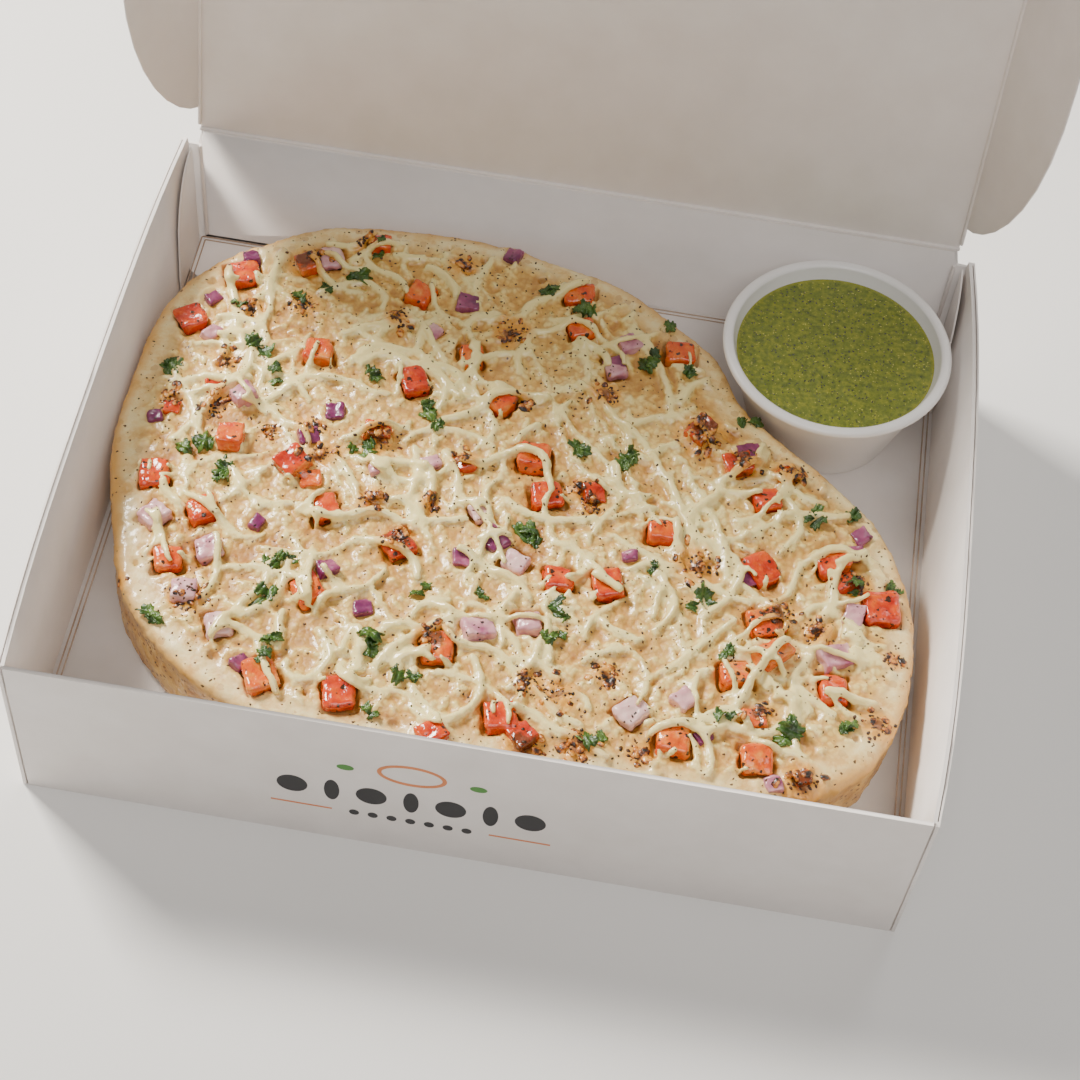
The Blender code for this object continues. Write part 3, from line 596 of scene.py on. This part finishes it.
def print_material(name, colour, grain):
    """Ink on the front panel, a little broken by the board's fibres."""
    material, tree, shader = new_material(name, 0.5)
    noise = use_group(tree, grain, Coarse=200.0, Fine=2000.0, Fine_Share=0.3)
    paler = tuple(min(1.0, value * 1.25 + 0.01) for value in colour)
    tree.links.new(mix(tree, noise.outputs["Tone"], colour, paler), shader.inputs["Base Color"])
    return material


# Carton

def side_lean(side, y, z):
    """How far a side wall stands out at a height."""
    share = max(0.0, z - FLOOR_RISE) / (TRAY_TOP - FLOOR_RISE)
    return SIDE_BOW[side] * (1 - min(1, abs(y) / HALF_DEPTH) ** 3) * share


def bowed_bar(name, side, x, width, z_low, z_high):
    """A long bar that follows a side wall's bow, from front to back."""
    low = (side * x - width / 2, -HALF_DEPTH + 1.6 * MM, z_low)
    high = (side * x + width / 2, 101 * MM, z_high)
    piece = box_bar(name, low, high)
    edit_whole(piece)
    for _ in range(4):
        bpy.ops.mesh.subdivide(number_cuts=1)
    bpy.ops.object.mode_set(mode="OBJECT")
    for vert in piece.data.vertices:
        vert.co.x += side * side_lean(side, vert.co.y, vert.co.z)
    return piece


def cut(piece, cutters):
    """Cut shapes out of a piece and remove them."""
    whole = join(cutters, "cutter")
    modify(piece, "BOOLEAN", operation="DIFFERENCE", object=whole, solver="EXACT")
    bpy.data.objects.remove(whole, do_unlink=True)


def finish_board(piece, width, board, body, *nodes):
    """Round a board's cut edges, give it its finish and hang it on its body."""
    modify(piece, "BEVEL", width=width, segments=2, limit_method="ANGLE",
           angle_limit=math.radians(40))
    finish_piece(piece, board, 35, body, "carton_board", *nodes)


def build_tray(board):
    """The tray: its folded side walls show two plies, and its corners a seam."""
    tray = copy_node("carton_tray", "tray_board")
    grooves = []
    for side in (-1, 1):
        grooves.append(bowed_bar("ply_gap", side, SIDE_OUTER - 0.75 * MM, 0.35 * MM,
                                TRAY_TOP - 4 * MM, TRAY_TOP + 1 * MM))
        grooves.append(box_bar("corner_seam", (side * 129.0 * MM - 0.3 * MM, -108 * MM, 0.6 * MM),
                               (side * 129.0 * MM + 0.3 * MM, -105.9 * MM, TRAY_TOP + 1 * MM)))
    cut(tray, grooves)
    finish_board(tray, 0.22 * MM, board, "tray", "carton_tray")


def build_creases(board, brown):
    """Scored fold lines: thin brown lines of painted shadow round the floor, and ridges at the lid's
    folds.
    """
    floor = FLOOR_RISE + BOARD + 0.05 * MM
    lines = []
    for inset in (1.3 * MM, 2.7 * MM):
        inner = SIDE_OUTER - 2 * MM - inset
        back = HALF_DEPTH - BOARD - inset
        for start, end in (((-inner, -104 * MM), (-inner, back)), ((inner, -104 * MM), (inner, back)),
                           ((-inner, back), (inner, back))):
            lines.append(round_bar("line", (*start, floor), (*end, floor), 0.24 * MM))
    # The floor lines are coloured brown as painted shadow along the creases.
    finish_board(join(lines, "floor_creases"), 0.03 * MM, brown, "tray")
    ridges = []
    for side in (-1, 1):
        ridges.append(round_bar("ridge", (side * BACK_CREASE_X, 104.6 * MM, FLOOR_RISE + 3 * MM),
                                (side * BACK_CREASE_X, 104.6 * MM, TRAY_TOP - 5 * MM), 0.6 * MM))
    finish_board(join(ridges, "corner_creases"), 0.05 * MM, board, "tray")
    hinge = round_bar("lid_hinge_crease", (-EAR_CREASE_X, HINGE_Y, HINGE_Z),
                      (EAR_CREASE_X, HINGE_Y, HINGE_Z), 0.7 * MM)
    finish_board(hinge, 0.05 * MM, board, "lid")
    up = Vector((0, math.sin(LID_LEAN), math.cos(LID_LEAN)))
    start = Vector((0, HINGE_Y, HINGE_Z))
    for side, name in ((-1, "ear_crease_left"), (1, "ear_crease_right")):
        foot = start + Vector((side * EAR_CREASE_X, 0, 0))
        ridge = round_bar(name, foot + up * 1.5 * MM, foot + up * (LID_LENGTH - 2 * MM), 0.65 * MM)
        finish_board(ridge, 0.05 * MM, board, "lid")
    far = start + up * LID_LENGTH
    half = Vector((121 * MM, 0, 0))
    tuck = round_bar("tuck_crease", far - half, far + half, 0.6 * MM)
    finish_board(tuck, 0.05 * MM, board, "lid")


def build_lid(board):
    """Lid panel, ears, tuck flap and the two corner flaps."""
    for node, body, width in (
            ("lid_panel", "lid", 0.3 * MM), ("lid_ear_left", "ear_left", 0.16 * MM),
            ("lid_ear_right", "ear_right", 0.16 * MM), ("lid_tuck_flap", "tuck_flap", 0.16 * MM),
            ("corner_flap_left", "tray", 0.16 * MM), ("corner_flap_right", "tray", 0.16 * MM)):
        finish_board(copy_node(node, node + "_board"), width, board, body, node)


def flat_shape(name, sides, size, place, stretch=(1, 1)):
    """A thin printed shape on the front panel: a disc, or an oval where it is stretched."""
    deselect()
    bpy.ops.mesh.primitive_cylinder_add(vertices=sides, radius=size / 2, depth=0.06 * MM)
    piece = bpy.context.object
    piece.name = name
    settle(piece)
    piece.scale = (stretch[0], stretch[1], 1)
    piece.rotation_euler = (math.radians(90), 0, 0)
    piece.location = (place[0], -HALF_DEPTH - 0.02 * MM, place[1])
    return settle(piece)


def build_print(grain):
    """Plain printed shapes: a row of discs and bars, a row of dots, two rules and a ring."""
    dark = print_material("ink_dark", (0.015, 0.014, 0.016), grain)
    orange = print_material("ink_orange", (0.62, 0.20, 0.06), grain)
    green = print_material("ink_green", (0.06, 0.22, 0.03), grain)
    shapes = {"print_dark": [], "print_orange": [], "print_green": []}
    centre = -14 * MM
    for step in range(-3, 4):
        stretch = (1, 1) if step % 2 else (0.5, 1.25)
        shapes["print_dark"].append(flat_shape(
            "mark", 32, 9 * MM, (centre + step * 11.5 * MM, 28 * MM), stretch))
        shapes["print_dark"].append(flat_shape(
            "mark", 20, 3 * MM, (centre + step * 5.5 * MM, 17 * MM)))
    for side in (-1, 1):
        x = centre + side * 32 * MM
        shapes["print_orange"].append(box_bar(
            "rule", (x - 9 * MM, -HALF_DEPTH - 0.05 * MM, 16.6 * MM),
            (x + 9 * MM, -HALF_DEPTH + 0.02 * MM, 17.4 * MM)))
        shapes["print_green"].append(flat_shape(
            "mark", 24, 5 * MM, (centre + side * 19 * MM, 42 * MM), (1, 0.6)))
    ring = flat_shape("mark", 40, 20 * MM, (centre, 43 * MM), (1, 0.55))
    hole = flat_shape("hole", 40, 17.4 * MM, (centre, 43 * MM), (1, 0.48))
    for vert in hole.data.vertices:
        vert.co.y = -HALF_DEPTH + (1 if vert.co.y > -HALF_DEPTH - 0.02 * MM else -1) * MM
    cut(ring, [hole])
    shapes["print_orange"].append(ring)
    for (name, pieces), ink in zip(shapes.items(), (dark, orange, green)):
        piece = join(pieces, name)
        tidy_mesh(piece)
        piece.data.materials.append(ink)
        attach(piece, "tray")


# Cup and chutney

def spin_profile(name, profile, middle, steps=96):
    """Turn a profile of (radius, height) points about an upright axis."""
    deselect()
    bpy.ops.mesh.primitive_plane_add(size=1 * MM)
    piece = bpy.context.object
    piece.name = name
    piece.data.clear_geometry()
    points = [(middle[0] + radius, middle[1], z) for radius, z in profile]
    piece.data.from_pydata(points, [(i, i + 1) for i in range(len(points) - 1)], [])
    edit_whole(piece)
    bpy.ops.mesh.spin(steps=steps, angle=2 * math.pi, center=(*middle, 0), axis=(0, 0, 1))
    bpy.ops.object.mode_set(mode="OBJECT")
    tidy_mesh(piece, 0.01 * MM)
    return piece


def arc(middle, radius, start, end, steps):
    """Points of an arc in a profile, angles in degrees."""
    points = []
    for step in range(steps + 1):
        turn = math.radians(start + (end - start) * step / steps)
        points.append((middle[0] + radius * math.cos(turn), middle[1] + radius * math.sin(turn)))
    return points


def cup_axis():
    """Middle of the cup, from its frame box."""
    low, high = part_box("dip_cup")
    return ((low[0] + high[0]) / 2, (low[1] + high[1]) / 2)


def cup_inner_radius(z):
    """Radius of the cup's inner wall at a height."""
    low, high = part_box("dip_cup")
    share = (z - low[2]) / (high[2] - low[2])
    return CUP_FOOT_RADIUS + (CUP_NECK_RADIUS - CUP_FOOT_RADIUS) * share - CUP_WALL


def build_cup(material):
    """Tapered cup with a rolled rim and a foot ring."""
    low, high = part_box("dip_cup")
    base, top = low[2], high[2]
    rim = (high[0] - low[0]) / 2
    floor = base + CUP_WALL
    roll = 1.35 * MM
    profile = [(0.01 * MM, base + 0.8 * MM), (CUP_FOOT_RADIUS - 2.4 * MM, base + 0.8 * MM)]
    profile += arc((CUP_FOOT_RADIUS - 1.0 * MM, base + 0.7 * MM), 0.7 * MM, 200, 340, 8)
    profile += [(CUP_NECK_RADIUS - 0.5 * MM, top - 3.6 * MM), (CUP_NECK_RADIUS - 0.3 * MM, top - 3.1 * MM)]
    profile += arc((rim - roll, top - roll - 0.3 * MM), roll, -70, 90, 14)
    profile += arc((cup_inner_radius(top) + 1.3 * MM, top - 1.6 * MM), 1.35 * MM, 95, 180, 8)
    profile += [(cup_inner_radius(top - 4 * MM), top - 4 * MM)]
    profile += [(cup_inner_radius(floor + 2 * MM), floor + 2 * MM),
                (cup_inner_radius(floor) - 1.6 * MM, floor), (0.01 * MM, floor)]
    cup = spin_profile("dip_cup_smooth", profile, cup_axis())
    finish_piece(cup, material, 40, "tray", "cup", "dip_cup")


def build_chutney(material):
    """Chutney with a stirred, grainy surface that climbs the wall a little."""
    low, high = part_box("green_chutney")
    top = high[2] - 0.5 * MM
    wall = cup_inner_radius(top) - 0.02 * MM
    profile = [(0.01 * MM, low[2]), (cup_inner_radius(low[2]) - 1.8 * MM, low[2]),
               (cup_inner_radius(low[2] + 2 * MM) - 0.3 * MM, low[2] + 2 * MM),
               (wall - 0.05 * MM, top - 1 * MM), (wall + 0.1 * MM, top + 0.45 * MM)]
    rings = 46
    for step in range(1, rings):
        radius = wall * (1 - step / rings)
        rise = 0.4 * MM * math.exp(-(wall - radius) / (0.9 * MM))
        profile.append((radius, top + rise))
    profile.append((0.01 * MM, top))
    chutney = spin_profile("chutney_stirred", profile, cup_axis(), 120)
    axis = Vector((*cup_axis(), 0))
    surface = chutney.vertex_groups.new(name="surface")
    for vert in chutney.data.vertices:
        reach = (Vector((vert.co.x, vert.co.y, 0)) - axis).length
        if vert.co.z > top - 0.1 * MM and reach < wall - 1.2 * MM:
            surface.add([vert.index], 1.0, "REPLACE")
    roughen(chutney, ((5 * MM, 0.5 * MM), (1.5 * MM, 0.3 * MM)), vertex_group="surface")
    rim = chutney.data.attributes.new("rim", "FLOAT", "POINT")
    for vert in chutney.data.vertices:
        reach = (Vector((vert.co.x, vert.co.y, 0)) - axis).length
        rim.data[vert.index].value = min(1.0, max(0.0, (wall - reach) / (2.2 * MM)))
    finish_piece(chutney, material, 60, "tray", "chutney", "green_chutney")


# Uttapam

class Top:
    """What lies on the tray, seen from above: heights and slopes at a place."""

    def __init__(self, pieces):
        verts = []
        faces = []
        for piece in pieces:
            start = len(verts)
            verts += [vert.co.copy() for vert in piece.data.vertices]
            faces += [[start + i for i in face.vertices] for face in piece.data.polygons]
        self.tree = BVHTree.FromPolygons(verts, faces)

    def at(self, x, y):
        """Height and slope under a place, or None beside the bread."""
        hit, normal, _, _ = self.tree.ray_cast(Vector((x, y, OVERHEAD)), Vector((0, 0, -1)))
        if hit is None:
            return None
        return hit.z, normal

    def height(self, x, y, other=0.0):
        """Height at a place, or another height beside the bread."""
        found = self.at(x, y)
        return found[0] if found else other


class Outline:
    """The bread's outline as a distance from its middle in each direction."""

    STEPS = 720

    def __init__(self, piece):
        tree = BVHTree.FromPolygons([vert.co for vert in piece.data.vertices],
                                    [list(face.vertices) for face in piece.data.polygons])
        level = Vector((0, 0, BREAD_TOP - 3 * MM))
        self.radii = []
        for step in range(self.STEPS):
            angle = 2 * math.pi * step / self.STEPS
            way = Vector((math.cos(angle), math.sin(angle), 0))
            hit = tree.ray_cast(level + way * 0.3, -way)[0]
            self.radii.append(math.hypot(hit.x, hit.y))

    def inside(self, x, y):
        """How far a place lies in from the edge."""
        place = math.atan2(y, x) % (2 * math.pi) / (2 * math.pi) * self.STEPS
        return self.radii[int(place) % self.STEPS] - math.hypot(x, y)


def new_tubes(name):
    """An empty curve whose splines become round tubes."""
    deselect()
    bpy.ops.object.add(type="CURVE", location=(0, 0, 0))
    piece = bpy.context.object
    piece.name = name
    piece.data.dimensions = "3D"
    piece.data.bevel_depth = 1.0
    piece.data.bevel_resolution = 2
    piece.data.use_fill_caps = True
    return piece


def add_tube(tubes, path, radius, end_taper=0.5):
    """One tube along a path, thinner at its ends."""
    spline = tubes.data.splines.new("POLY")
    spline.points.add(len(path) - 1)
    last = len(path) - 1
    for number, point in enumerate(path):
        spline.points[number].co = (*point, 1.0)
        share = min(number, last - number) / max(1, last) * 2
        spline.points[number].radius = radius * (end_taper + (1 - end_taper) * min(1.0, share * 2.5))


def to_mesh(piece):
    """Turn a curve into a mesh."""
    pick(piece)
    bpy.ops.object.convert(target="MESH")
    return bpy.context.object


def wander(rng, x, y, heading, length, step, bend):
    """A wavering line on the plane."""
    path = [(x, y)]
    turn = 0.0
    for _ in range(max(2, int(length / step))):
        turn = turn * 0.6 + rng.uniform(-bend, bend)
        heading += turn
        x += step * math.cos(heading)
        y += step * math.sin(heading)
        path.append((x, y))
    return path


def lay_on(top, path, lift, rounds):
    """Give a flat path its heights, eased so that it bridges small dips."""
    heights = [top.height(x, y) for x, y in path]
    last = len(path) - 1
    for _ in range(rounds):
        heights = [
            max(heights[i], (heights[max(0, i - 1)] + heights[i] + heights[min(last, i + 1)]) / 3)
            for i in range(len(path))]
    return [(x, y, z + lift) for (x, y), z in zip(path, heights)]


def random_place(rng, outline, margin):
    """A random place on the bread, at least a margin inside its edge."""
    while True:
        x = rng.uniform(-125, 125) * MM
        y = rng.uniform(-104, 104) * MM
        if outline.inside(x, y) > margin:
            return x, y


def near(spots, x, y):
    """Distance in metres to the nearest spot."""
    return spots.find((x, y, 0))[2]


def spot_tree(spots):
    """A search tree over spots given in millimetres."""
    tree = kdtree.KDTree(len(spots))
    for number, spot in enumerate(spots):
        tree.insert((spot[0] * MM, spot[1] * MM, 0), number)
    tree.balance()
    return tree


def write_field(piece, name, function):
    """Store one value for each vertex."""
    field = piece.data.attributes.new(name, "FLOAT", "POINT")
    field.data.foreach_set("value", [function(vert.co) for vert in piece.data.vertices])


def toast_at(place):
    """How browned the top is at a place, from 0 to 1."""
    most = 0.0
    for _, number, distance in TOAST_TREE.find_range((place.x, place.y, 0), 13 * MM):
        radius = TOAST_SPOTS[number][2] * MM
        most = max(most, 1.0 - distance / (radius * 1.5))
    return most


TOAST_TREE = spot_tree(TOAST_SPOTS)


def plain_height(outline, x, y):
    """Height of the bread's top without what lies on it."""
    reach = math.hypot(x, y)
    share = min(1.0, reach / (reach + max(0.1 * MM, outline.inside(x, y))))
    return BREAD_TOP + BREAD_CROWN * (1 - share ** 4)


def lay_shreds(tubes, top, outline, dice_spots):
    """Short melted shreds that fill the top between the dice."""
    rng = random.Random(SEED)
    for _ in range(SHREDS):
        x, y = random_place(rng, outline, MARGIN * rng.uniform(0.45, 1.2))
        if near(dice_spots, x, y) < rng.choice((6.2, 6.2, 5.6, 4.4)) * MM:
            continue
        path = wander(rng, x, y, rng.uniform(0, 2 * math.pi), rng.uniform(1.5, 6) * MM,
                      1.2 * MM, 0.5)
        path = lay_on(top, path, rng.uniform(-0.4, 0.55) * MM, 1)
        add_tube(tubes, path, rng.uniform(0.6, 1.05) * MM, 0.75)


def lay_collars(tubes, top, spots, reach):
    """Melted cheese that closes round each dice."""
    rng = random.Random(SEED + 2)
    for spot in spots:
        start = rng.uniform(0, 2 * math.pi)
        path = []
        for step in range(17):
            angle = start + 2 * math.pi * step / 16
            out = reach * MM * rng.uniform(0.92, 1.12)
            x = spot[0] * MM + out * math.cos(angle)
            y = spot[1] * MM + out * math.sin(angle)
            z = min(top.height(x, y, BREAD_TOP), BREAD_TOP + 1.4 * MM)
            path.append((x, y, z - rng.uniform(0, 0.5) * MM))
        add_tube(tubes, path, rng.uniform(0.95, 1.25) * MM, 1.0)


def lay_strands(tubes, top, outline):
    """Long strands along two slants, which run over dice and batter."""
    rng = random.Random(SEED + 1)
    for _ in range(STRANDS):
        x, y = random_place(rng, outline, MARGIN)
        heading = math.radians(rng.choice(STRAND_HEADINGS) + rng.uniform(-25, 25))
        path = wander(rng, x, y, heading, rng.uniform(10, 44) * MM, 1.8 * MM, 0.2)
        path = [place for place in path if outline.inside(*place) > MARGIN * 0.7]
        if len(path) < 4:
            continue
        radius = rng.choice((0.95, 1.1, 1.25, 1.45)) * MM
        add_tube(tubes, lay_on(top, path, radius * rng.uniform(0.55, 0.95), 3), radius, 0.8)


def build_batter(material, plain, draped, tomato_spots, onion_spots):
    """Bread with its melted top: shreds, collars and strands are fused into the batter."""
    core = copy_node("uttapam", "uttapam_batter")
    outline = Outline(core)
    tubes = new_tubes("cheese")
    lay_shreds(tubes, draped, outline, spot_tree(tomato_spots + onion_spots))
    lay_collars(tubes, plain, tomato_spots, 5.5)
    lay_collars(tubes, plain, onion_spots, 4.7)
    lay_strands(tubes, draped, outline)
    bread = join([core, to_mesh(tubes)], "uttapam_batter")
    modify(bread, "REMESH", mode="VOXEL", voxel_size=BREAD_VOXEL, use_smooth_shade=True)
    modify(bread, "SMOOTH", factor=0.5, iterations=2)
    roughen(bread, ((3.0 * MM, 0.7 * MM), (1.2 * MM, 0.4 * MM)))
    limit_triangles(bread)

    def margin(co):
        return max(0.0, min(1.0, outline.inside(co.x, co.y) / (25 * MM)))

    # Height above the plain top; the batter's colour turns low places into painted shade.
    def rise(co):
        above = co.z - plain_height(outline, co.x, co.y)
        return max(0.0, min(1.0, above / (2.8 * MM) + 0.2))

    write_field(bread, "margin", margin)
    write_field(bread, "toast", toast_at)
    write_field(bread, "rise", rise)
    finish_piece(bread, material, None, "tray", "batter_and_cheese", "uttapam")
    return bread, outline


def rough_dice(name, place, turn, size, height, rng):
    """A small uneven block."""
    deselect()
    bpy.ops.mesh.primitive_cube_add(size=1, location=place, rotation=(
        rng.uniform(-0.2, 0.2), rng.uniform(-0.2, 0.2), math.radians(turn)),
        scale=(size * rng.uniform(0.85, 1.15), size * rng.uniform(0.75, 1.05), height))
    piece = bpy.context.object
    piece.name = name
    settle(piece)
    for vert in piece.data.vertices:
        vert.co += Vector([rng.uniform(-0.07, 0.07) * size for _ in range(3)])
    return piece


def finish_dice(piece, spots, tones, material, slot, roughness, nodes):
    """Soften joined dice, give each its tone and the browning of its place."""
    modify(piece, "REMESH", mode="VOXEL", voxel_size=DICE_VOXEL, use_smooth_shade=True)
    modify(piece, "SMOOTH", factor=0.5, iterations=3)
    roughen(piece, ((5.0 * MM, roughness * 2.6), (1.9 * MM, roughness)))
    limit_triangles(piece)
    write_field(piece, "tone", lambda co: tones[spots.find((co.x, co.y, 0))[1]])
    write_field(piece, "toast", toast_at)
    finish_piece(piece, material, None, "tray", slot, *nodes)


def shrink(piece, share):
    """Scale a small piece about its own middle."""
    verts = piece.data.vertices
    middle = sum((vert.co for vert in verts), Vector()) / len(verts)
    for vert in verts:
        vert.co = middle + (vert.co - middle) * share
    return piece


def node_middles(nodes):
    """Middles of some nodes' boxes, in millimetres."""
    places = []
    for node in nodes:
        low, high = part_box(node)
        places.append(((low[0] + high[0]) / 2 / MM, (low[1] + high[1]) / 2 / MM))
    return places


def build_dice(kind, small, material, slot, top, dark_share, roughness):
    """All dice of one kind: the frame's own, softened, and the smaller ones between."""
    rng = random.Random(SEED + len(kind))
    nodes = sorted(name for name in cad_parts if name.startswith(kind + "_"))
    parts = [shrink(copy_node(node, node + "_soft"), rng.uniform(0.84, 0.96)) for node in nodes]
    spots = node_middles(nodes)
    tones = [rng.random() * dark_share for _ in nodes]
    for spot in small:
        x = spot[0] * MM
        y = spot[1] * MM
        size = spot[3] * MM
        z = top.height(x, y, BREAD_TOP) + size * 0.05
        parts.append(rough_dice("small", (x, y, z), spot[2], size, size * 0.62, rng))
        spots.append((spot[0], spot[1]))
        tones.append(0.35 + 0.5 * spot[4] + 0.15 * rng.random() if len(spot) > 4 else rng.random())
    piece = join(parts, kind + "_dice")
    finish_dice(piece, spot_tree(spots), tones, material, slot, roughness, nodes)
    return piece, spots


def leaf_piece(rng, x, y, z, size, normal):
    """One torn leaflet: lobed, toothed, crumpled and thin."""
    deselect()
    bpy.ops.mesh.primitive_circle_add(vertices=36, radius=1, fill_type="TRIFAN")
    piece = bpy.context.object
    edit_whole(piece)
    bpy.ops.mesh.subdivide(number_cuts=2)
    bpy.ops.object.mode_set(mode="OBJECT")
    phase = rng.uniform(0, 6)
    lobes = rng.choice((3, 3, 4, 5))
    curl = rng.uniform(0.15, 0.3)
    for vert in piece.data.vertices:
        angle = math.atan2(vert.co.y, vert.co.x)
        reach = math.hypot(vert.co.x, vert.co.y)
        shape = 0.76 + 0.15 * math.cos(lobes * angle + phase)
        shape += 0.08 * math.cos(9 * angle + 2 * phase)
        shape += 0.06 * math.cos(15 * angle)
        vert.co.x *= shape
        vert.co.y *= shape * 0.8
        fold = math.sin(3.2 * vert.co.x + phase) + 0.7 * math.sin(5 * vert.co.y + 2 * phase)
        vert.co.z = curl * fold * reach + 0.10 * math.sin(11 * vert.co.y + phase)
    piece.scale = (size / 2, size / 2, size / 2)
    tilt = normal.lerp(Vector((rng.uniform(-0.4, 0.4), rng.uniform(-0.4, 0.4), 1)), 0.6)
    piece.rotation_euler = tilt.to_track_quat("Z", "Y").to_euler()
    piece.location = (x, y, z)
    settle(piece)
    return piece


def build_leaves(material, top):
    """Coriander leaves: the frame's seven, and smaller torn bits, each of a few leaflets."""
    rng = random.Random(SEED + 5)
    nodes = sorted(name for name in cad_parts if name.startswith("coriander_"))
    places = [(x, y, 10.5) for x, y in node_middles(nodes)] + list(LEAF_BITS)
    leaves = []
    for x_mm, y_mm, size in places:
        for share in (0.95, 0.7, 0.6)[:2 if size < 7 else 3]:
            x = (x_mm + rng.uniform(-0.35, 0.35) * size) * MM
            y = (y_mm + rng.uniform(-0.35, 0.35) * size) * MM
            found = top.at(x, y)
            z, normal = found if found else (BREAD_TOP, Vector((0, 0, 1)))
            z += rng.uniform(0.3, 0.9) * MM
            leaves.append(leaf_piece(rng, x, y, z, size * share * MM, normal))
    piece = join(leaves, "coriander_leaves")
    modify(piece, "SOLIDIFY", thickness=0.3 * MM, offset=0)
    finish_piece(piece, material, None, "tray", "coriander", *nodes)


def scatter_flakes(name, material, top, count, sizes, place_of, detail=1, flat=0.4):
    """Many small crumbs of one kind, each a squashed uneven ball."""
    rng = random.Random(SEED + count)
    deselect()
    bpy.ops.mesh.primitive_ico_sphere_add(subdivisions=detail, radius=1)
    model = bpy.context.object
    shape = [vert.co.copy() for vert in model.data.vertices]
    faces = [tuple(face.vertices) for face in model.data.polygons]
    verts = []
    polygons = []
    for _ in range(count):
        x, y = place_of(rng)
        found = top.at(x, y)
        if found is None or found[0] < BREAD_TOP - 6 * MM:
            continue
        size = rng.uniform(*sizes) * MM
        normal = found[1]
        turn = normal.to_track_quat("Z", "Y").to_matrix()
        spin = rng.uniform(0, math.pi)
        stretch = rng.uniform(0.9, 1.8)
        start = len(verts)
        for co in shape:
            bent = Vector((co.x * stretch, co.y, co.z * flat)) * rng.uniform(0.75, 1.2)
            bent = Vector((bent.x * math.cos(spin) - bent.y * math.sin(spin),
                           bent.x * math.sin(spin) + bent.y * math.cos(spin), bent.z))
            verts.append(Vector((x, y, found[0])) + turn @ (bent * size))
        polygons += [tuple(start + i for i in face) for face in faces]
    model.name = name
    model.data.clear_geometry()
    model.data.from_pydata(verts, [], polygons)
    finish_piece(model, material, None, "tray", "batter_and_cheese")


def build_flakes(char, toasted, top, outline):
    """Ground pepper all over; toasted lumps and burnt crumbs where the top is browned."""
    scatter_flakes("pepper_flakes", char, top, PEPPER_FLAKES, (0.15, 0.4),
                   lambda rng: random_place(rng, outline, 1.5 * MM))

    def browned(rng):
        x, y, radius = rng.choice(TOAST_SPOTS)
        return (x + rng.gauss(0, radius * 0.42)) * MM, (y + rng.gauss(0, radius * 0.42)) * MM
    scatter_flakes("toasted_bits", toasted, top, TOASTED_BITS, (0.5, 1.35), browned, 2, 0.45)
    scatter_flakes("burnt_crumbs", char, top, BURNT_CRUMBS, (0.25, 0.7), browned)


# Stage

def build_stage():
    """Pale floor, soft lights and the camera."""
    deselect()
    bpy.ops.mesh.primitive_plane_add(size=6)
    floor = bpy.context.object
    floor.name = "floor"
    material, _, shader = new_material("floor_pale", 0.9)
    shader.inputs["Base Color"].default_value = (0.84, 0.83, 0.81, 1)
    floor.data.materials.append(material)
    for name, place, size, energy, colour in (
            ("key", (-0.85, 0.55, 0.95), 0.35, 41.0, (1.0, 0.95, 0.87)),
            ("fill", (0.25, -0.75, 1.5), 1.0, 11.0, (1.0, 0.97, 0.95)),
            ("back", (0.3, 1.2, 0.9), 0.8, 7.0, (1.0, 0.97, 0.92))):
        light = bpy.data.lights.new(name, "AREA")
        light.size = size
        light.energy = energy
        light.color = colour
        lamp = bpy.data.objects.new(name, light)
        bpy.context.scene.collection.objects.link(lamp)
        lamp.location = place
        aim = Vector((0, 0, 0.03)) - Vector(place)
        lamp.rotation_euler = aim.to_track_quat("-Z", "Y").to_euler()
    world = bpy.data.worlds.new("studio")
    world.use_nodes = True
    world.node_tree.nodes["Background"].inputs["Color"].default_value = (1.0, 0.97, 0.94, 1)
    world.node_tree.nodes["Background"].inputs["Strength"].default_value = 0.25
    bpy.context.scene.world = world
    camera_data = bpy.data.cameras.new("camera")
    camera_data.lens = CAMERA_LENS
    camera = bpy.data.objects.new("camera", camera_data)
    bpy.context.scene.collection.objects.link(camera)
    camera.location = CAMERA_PLACE
    camera.rotation_euler = CAMERA_TURN
    bpy.context.scene.camera = camera


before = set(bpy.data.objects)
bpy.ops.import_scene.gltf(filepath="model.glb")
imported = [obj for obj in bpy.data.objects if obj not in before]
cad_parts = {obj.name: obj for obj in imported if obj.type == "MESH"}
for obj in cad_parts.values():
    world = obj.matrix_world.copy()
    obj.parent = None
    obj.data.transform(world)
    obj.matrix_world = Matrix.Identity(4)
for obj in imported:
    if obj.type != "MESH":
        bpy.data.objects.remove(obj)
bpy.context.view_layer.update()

build_stage()
GRAIN = build_grain_group()
SPECKS = build_specks_group()
BOARD_FINISH = board_material(GRAIN)
build_tray(BOARD_FINISH)
build_lid(BOARD_FINISH)
# The floor's crease lines get the brown painted shadow.
build_creases(BOARD_FINISH, crease_shadow_material(GRAIN))
build_print(GRAIN)
build_cup(cup_material(GRAIN))
build_chutney(chutney_material(GRAIN, SPECKS))

plain_top = Top([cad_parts["uttapam"]])
tomato, tomato_spots = build_dice("tomato", SMALL_TOMATO, tomato_material(GRAIN, SPECKS), "tomato",
                                  plain_top, 1.0, 0.5 * MM)
onion, onion_spots = build_dice("onion", SMALL_ONION, onion_material(GRAIN, SPECKS), "onion",
                                plain_top, 0.45, 0.6 * MM)
draped = Top([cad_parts["uttapam"], tomato, onion])
batter, bread_outline = build_batter(batter_material(GRAIN, SPECKS, build_granules_group()),
                                     plain_top, draped, tomato_spots, onion_spots)
dressed = Top([batter, tomato, onion])
build_leaves(leaf_material(GRAIN), dressed)
build_flakes(char_material(GRAIN), toasted_material(GRAIN), dressed, bread_outline)
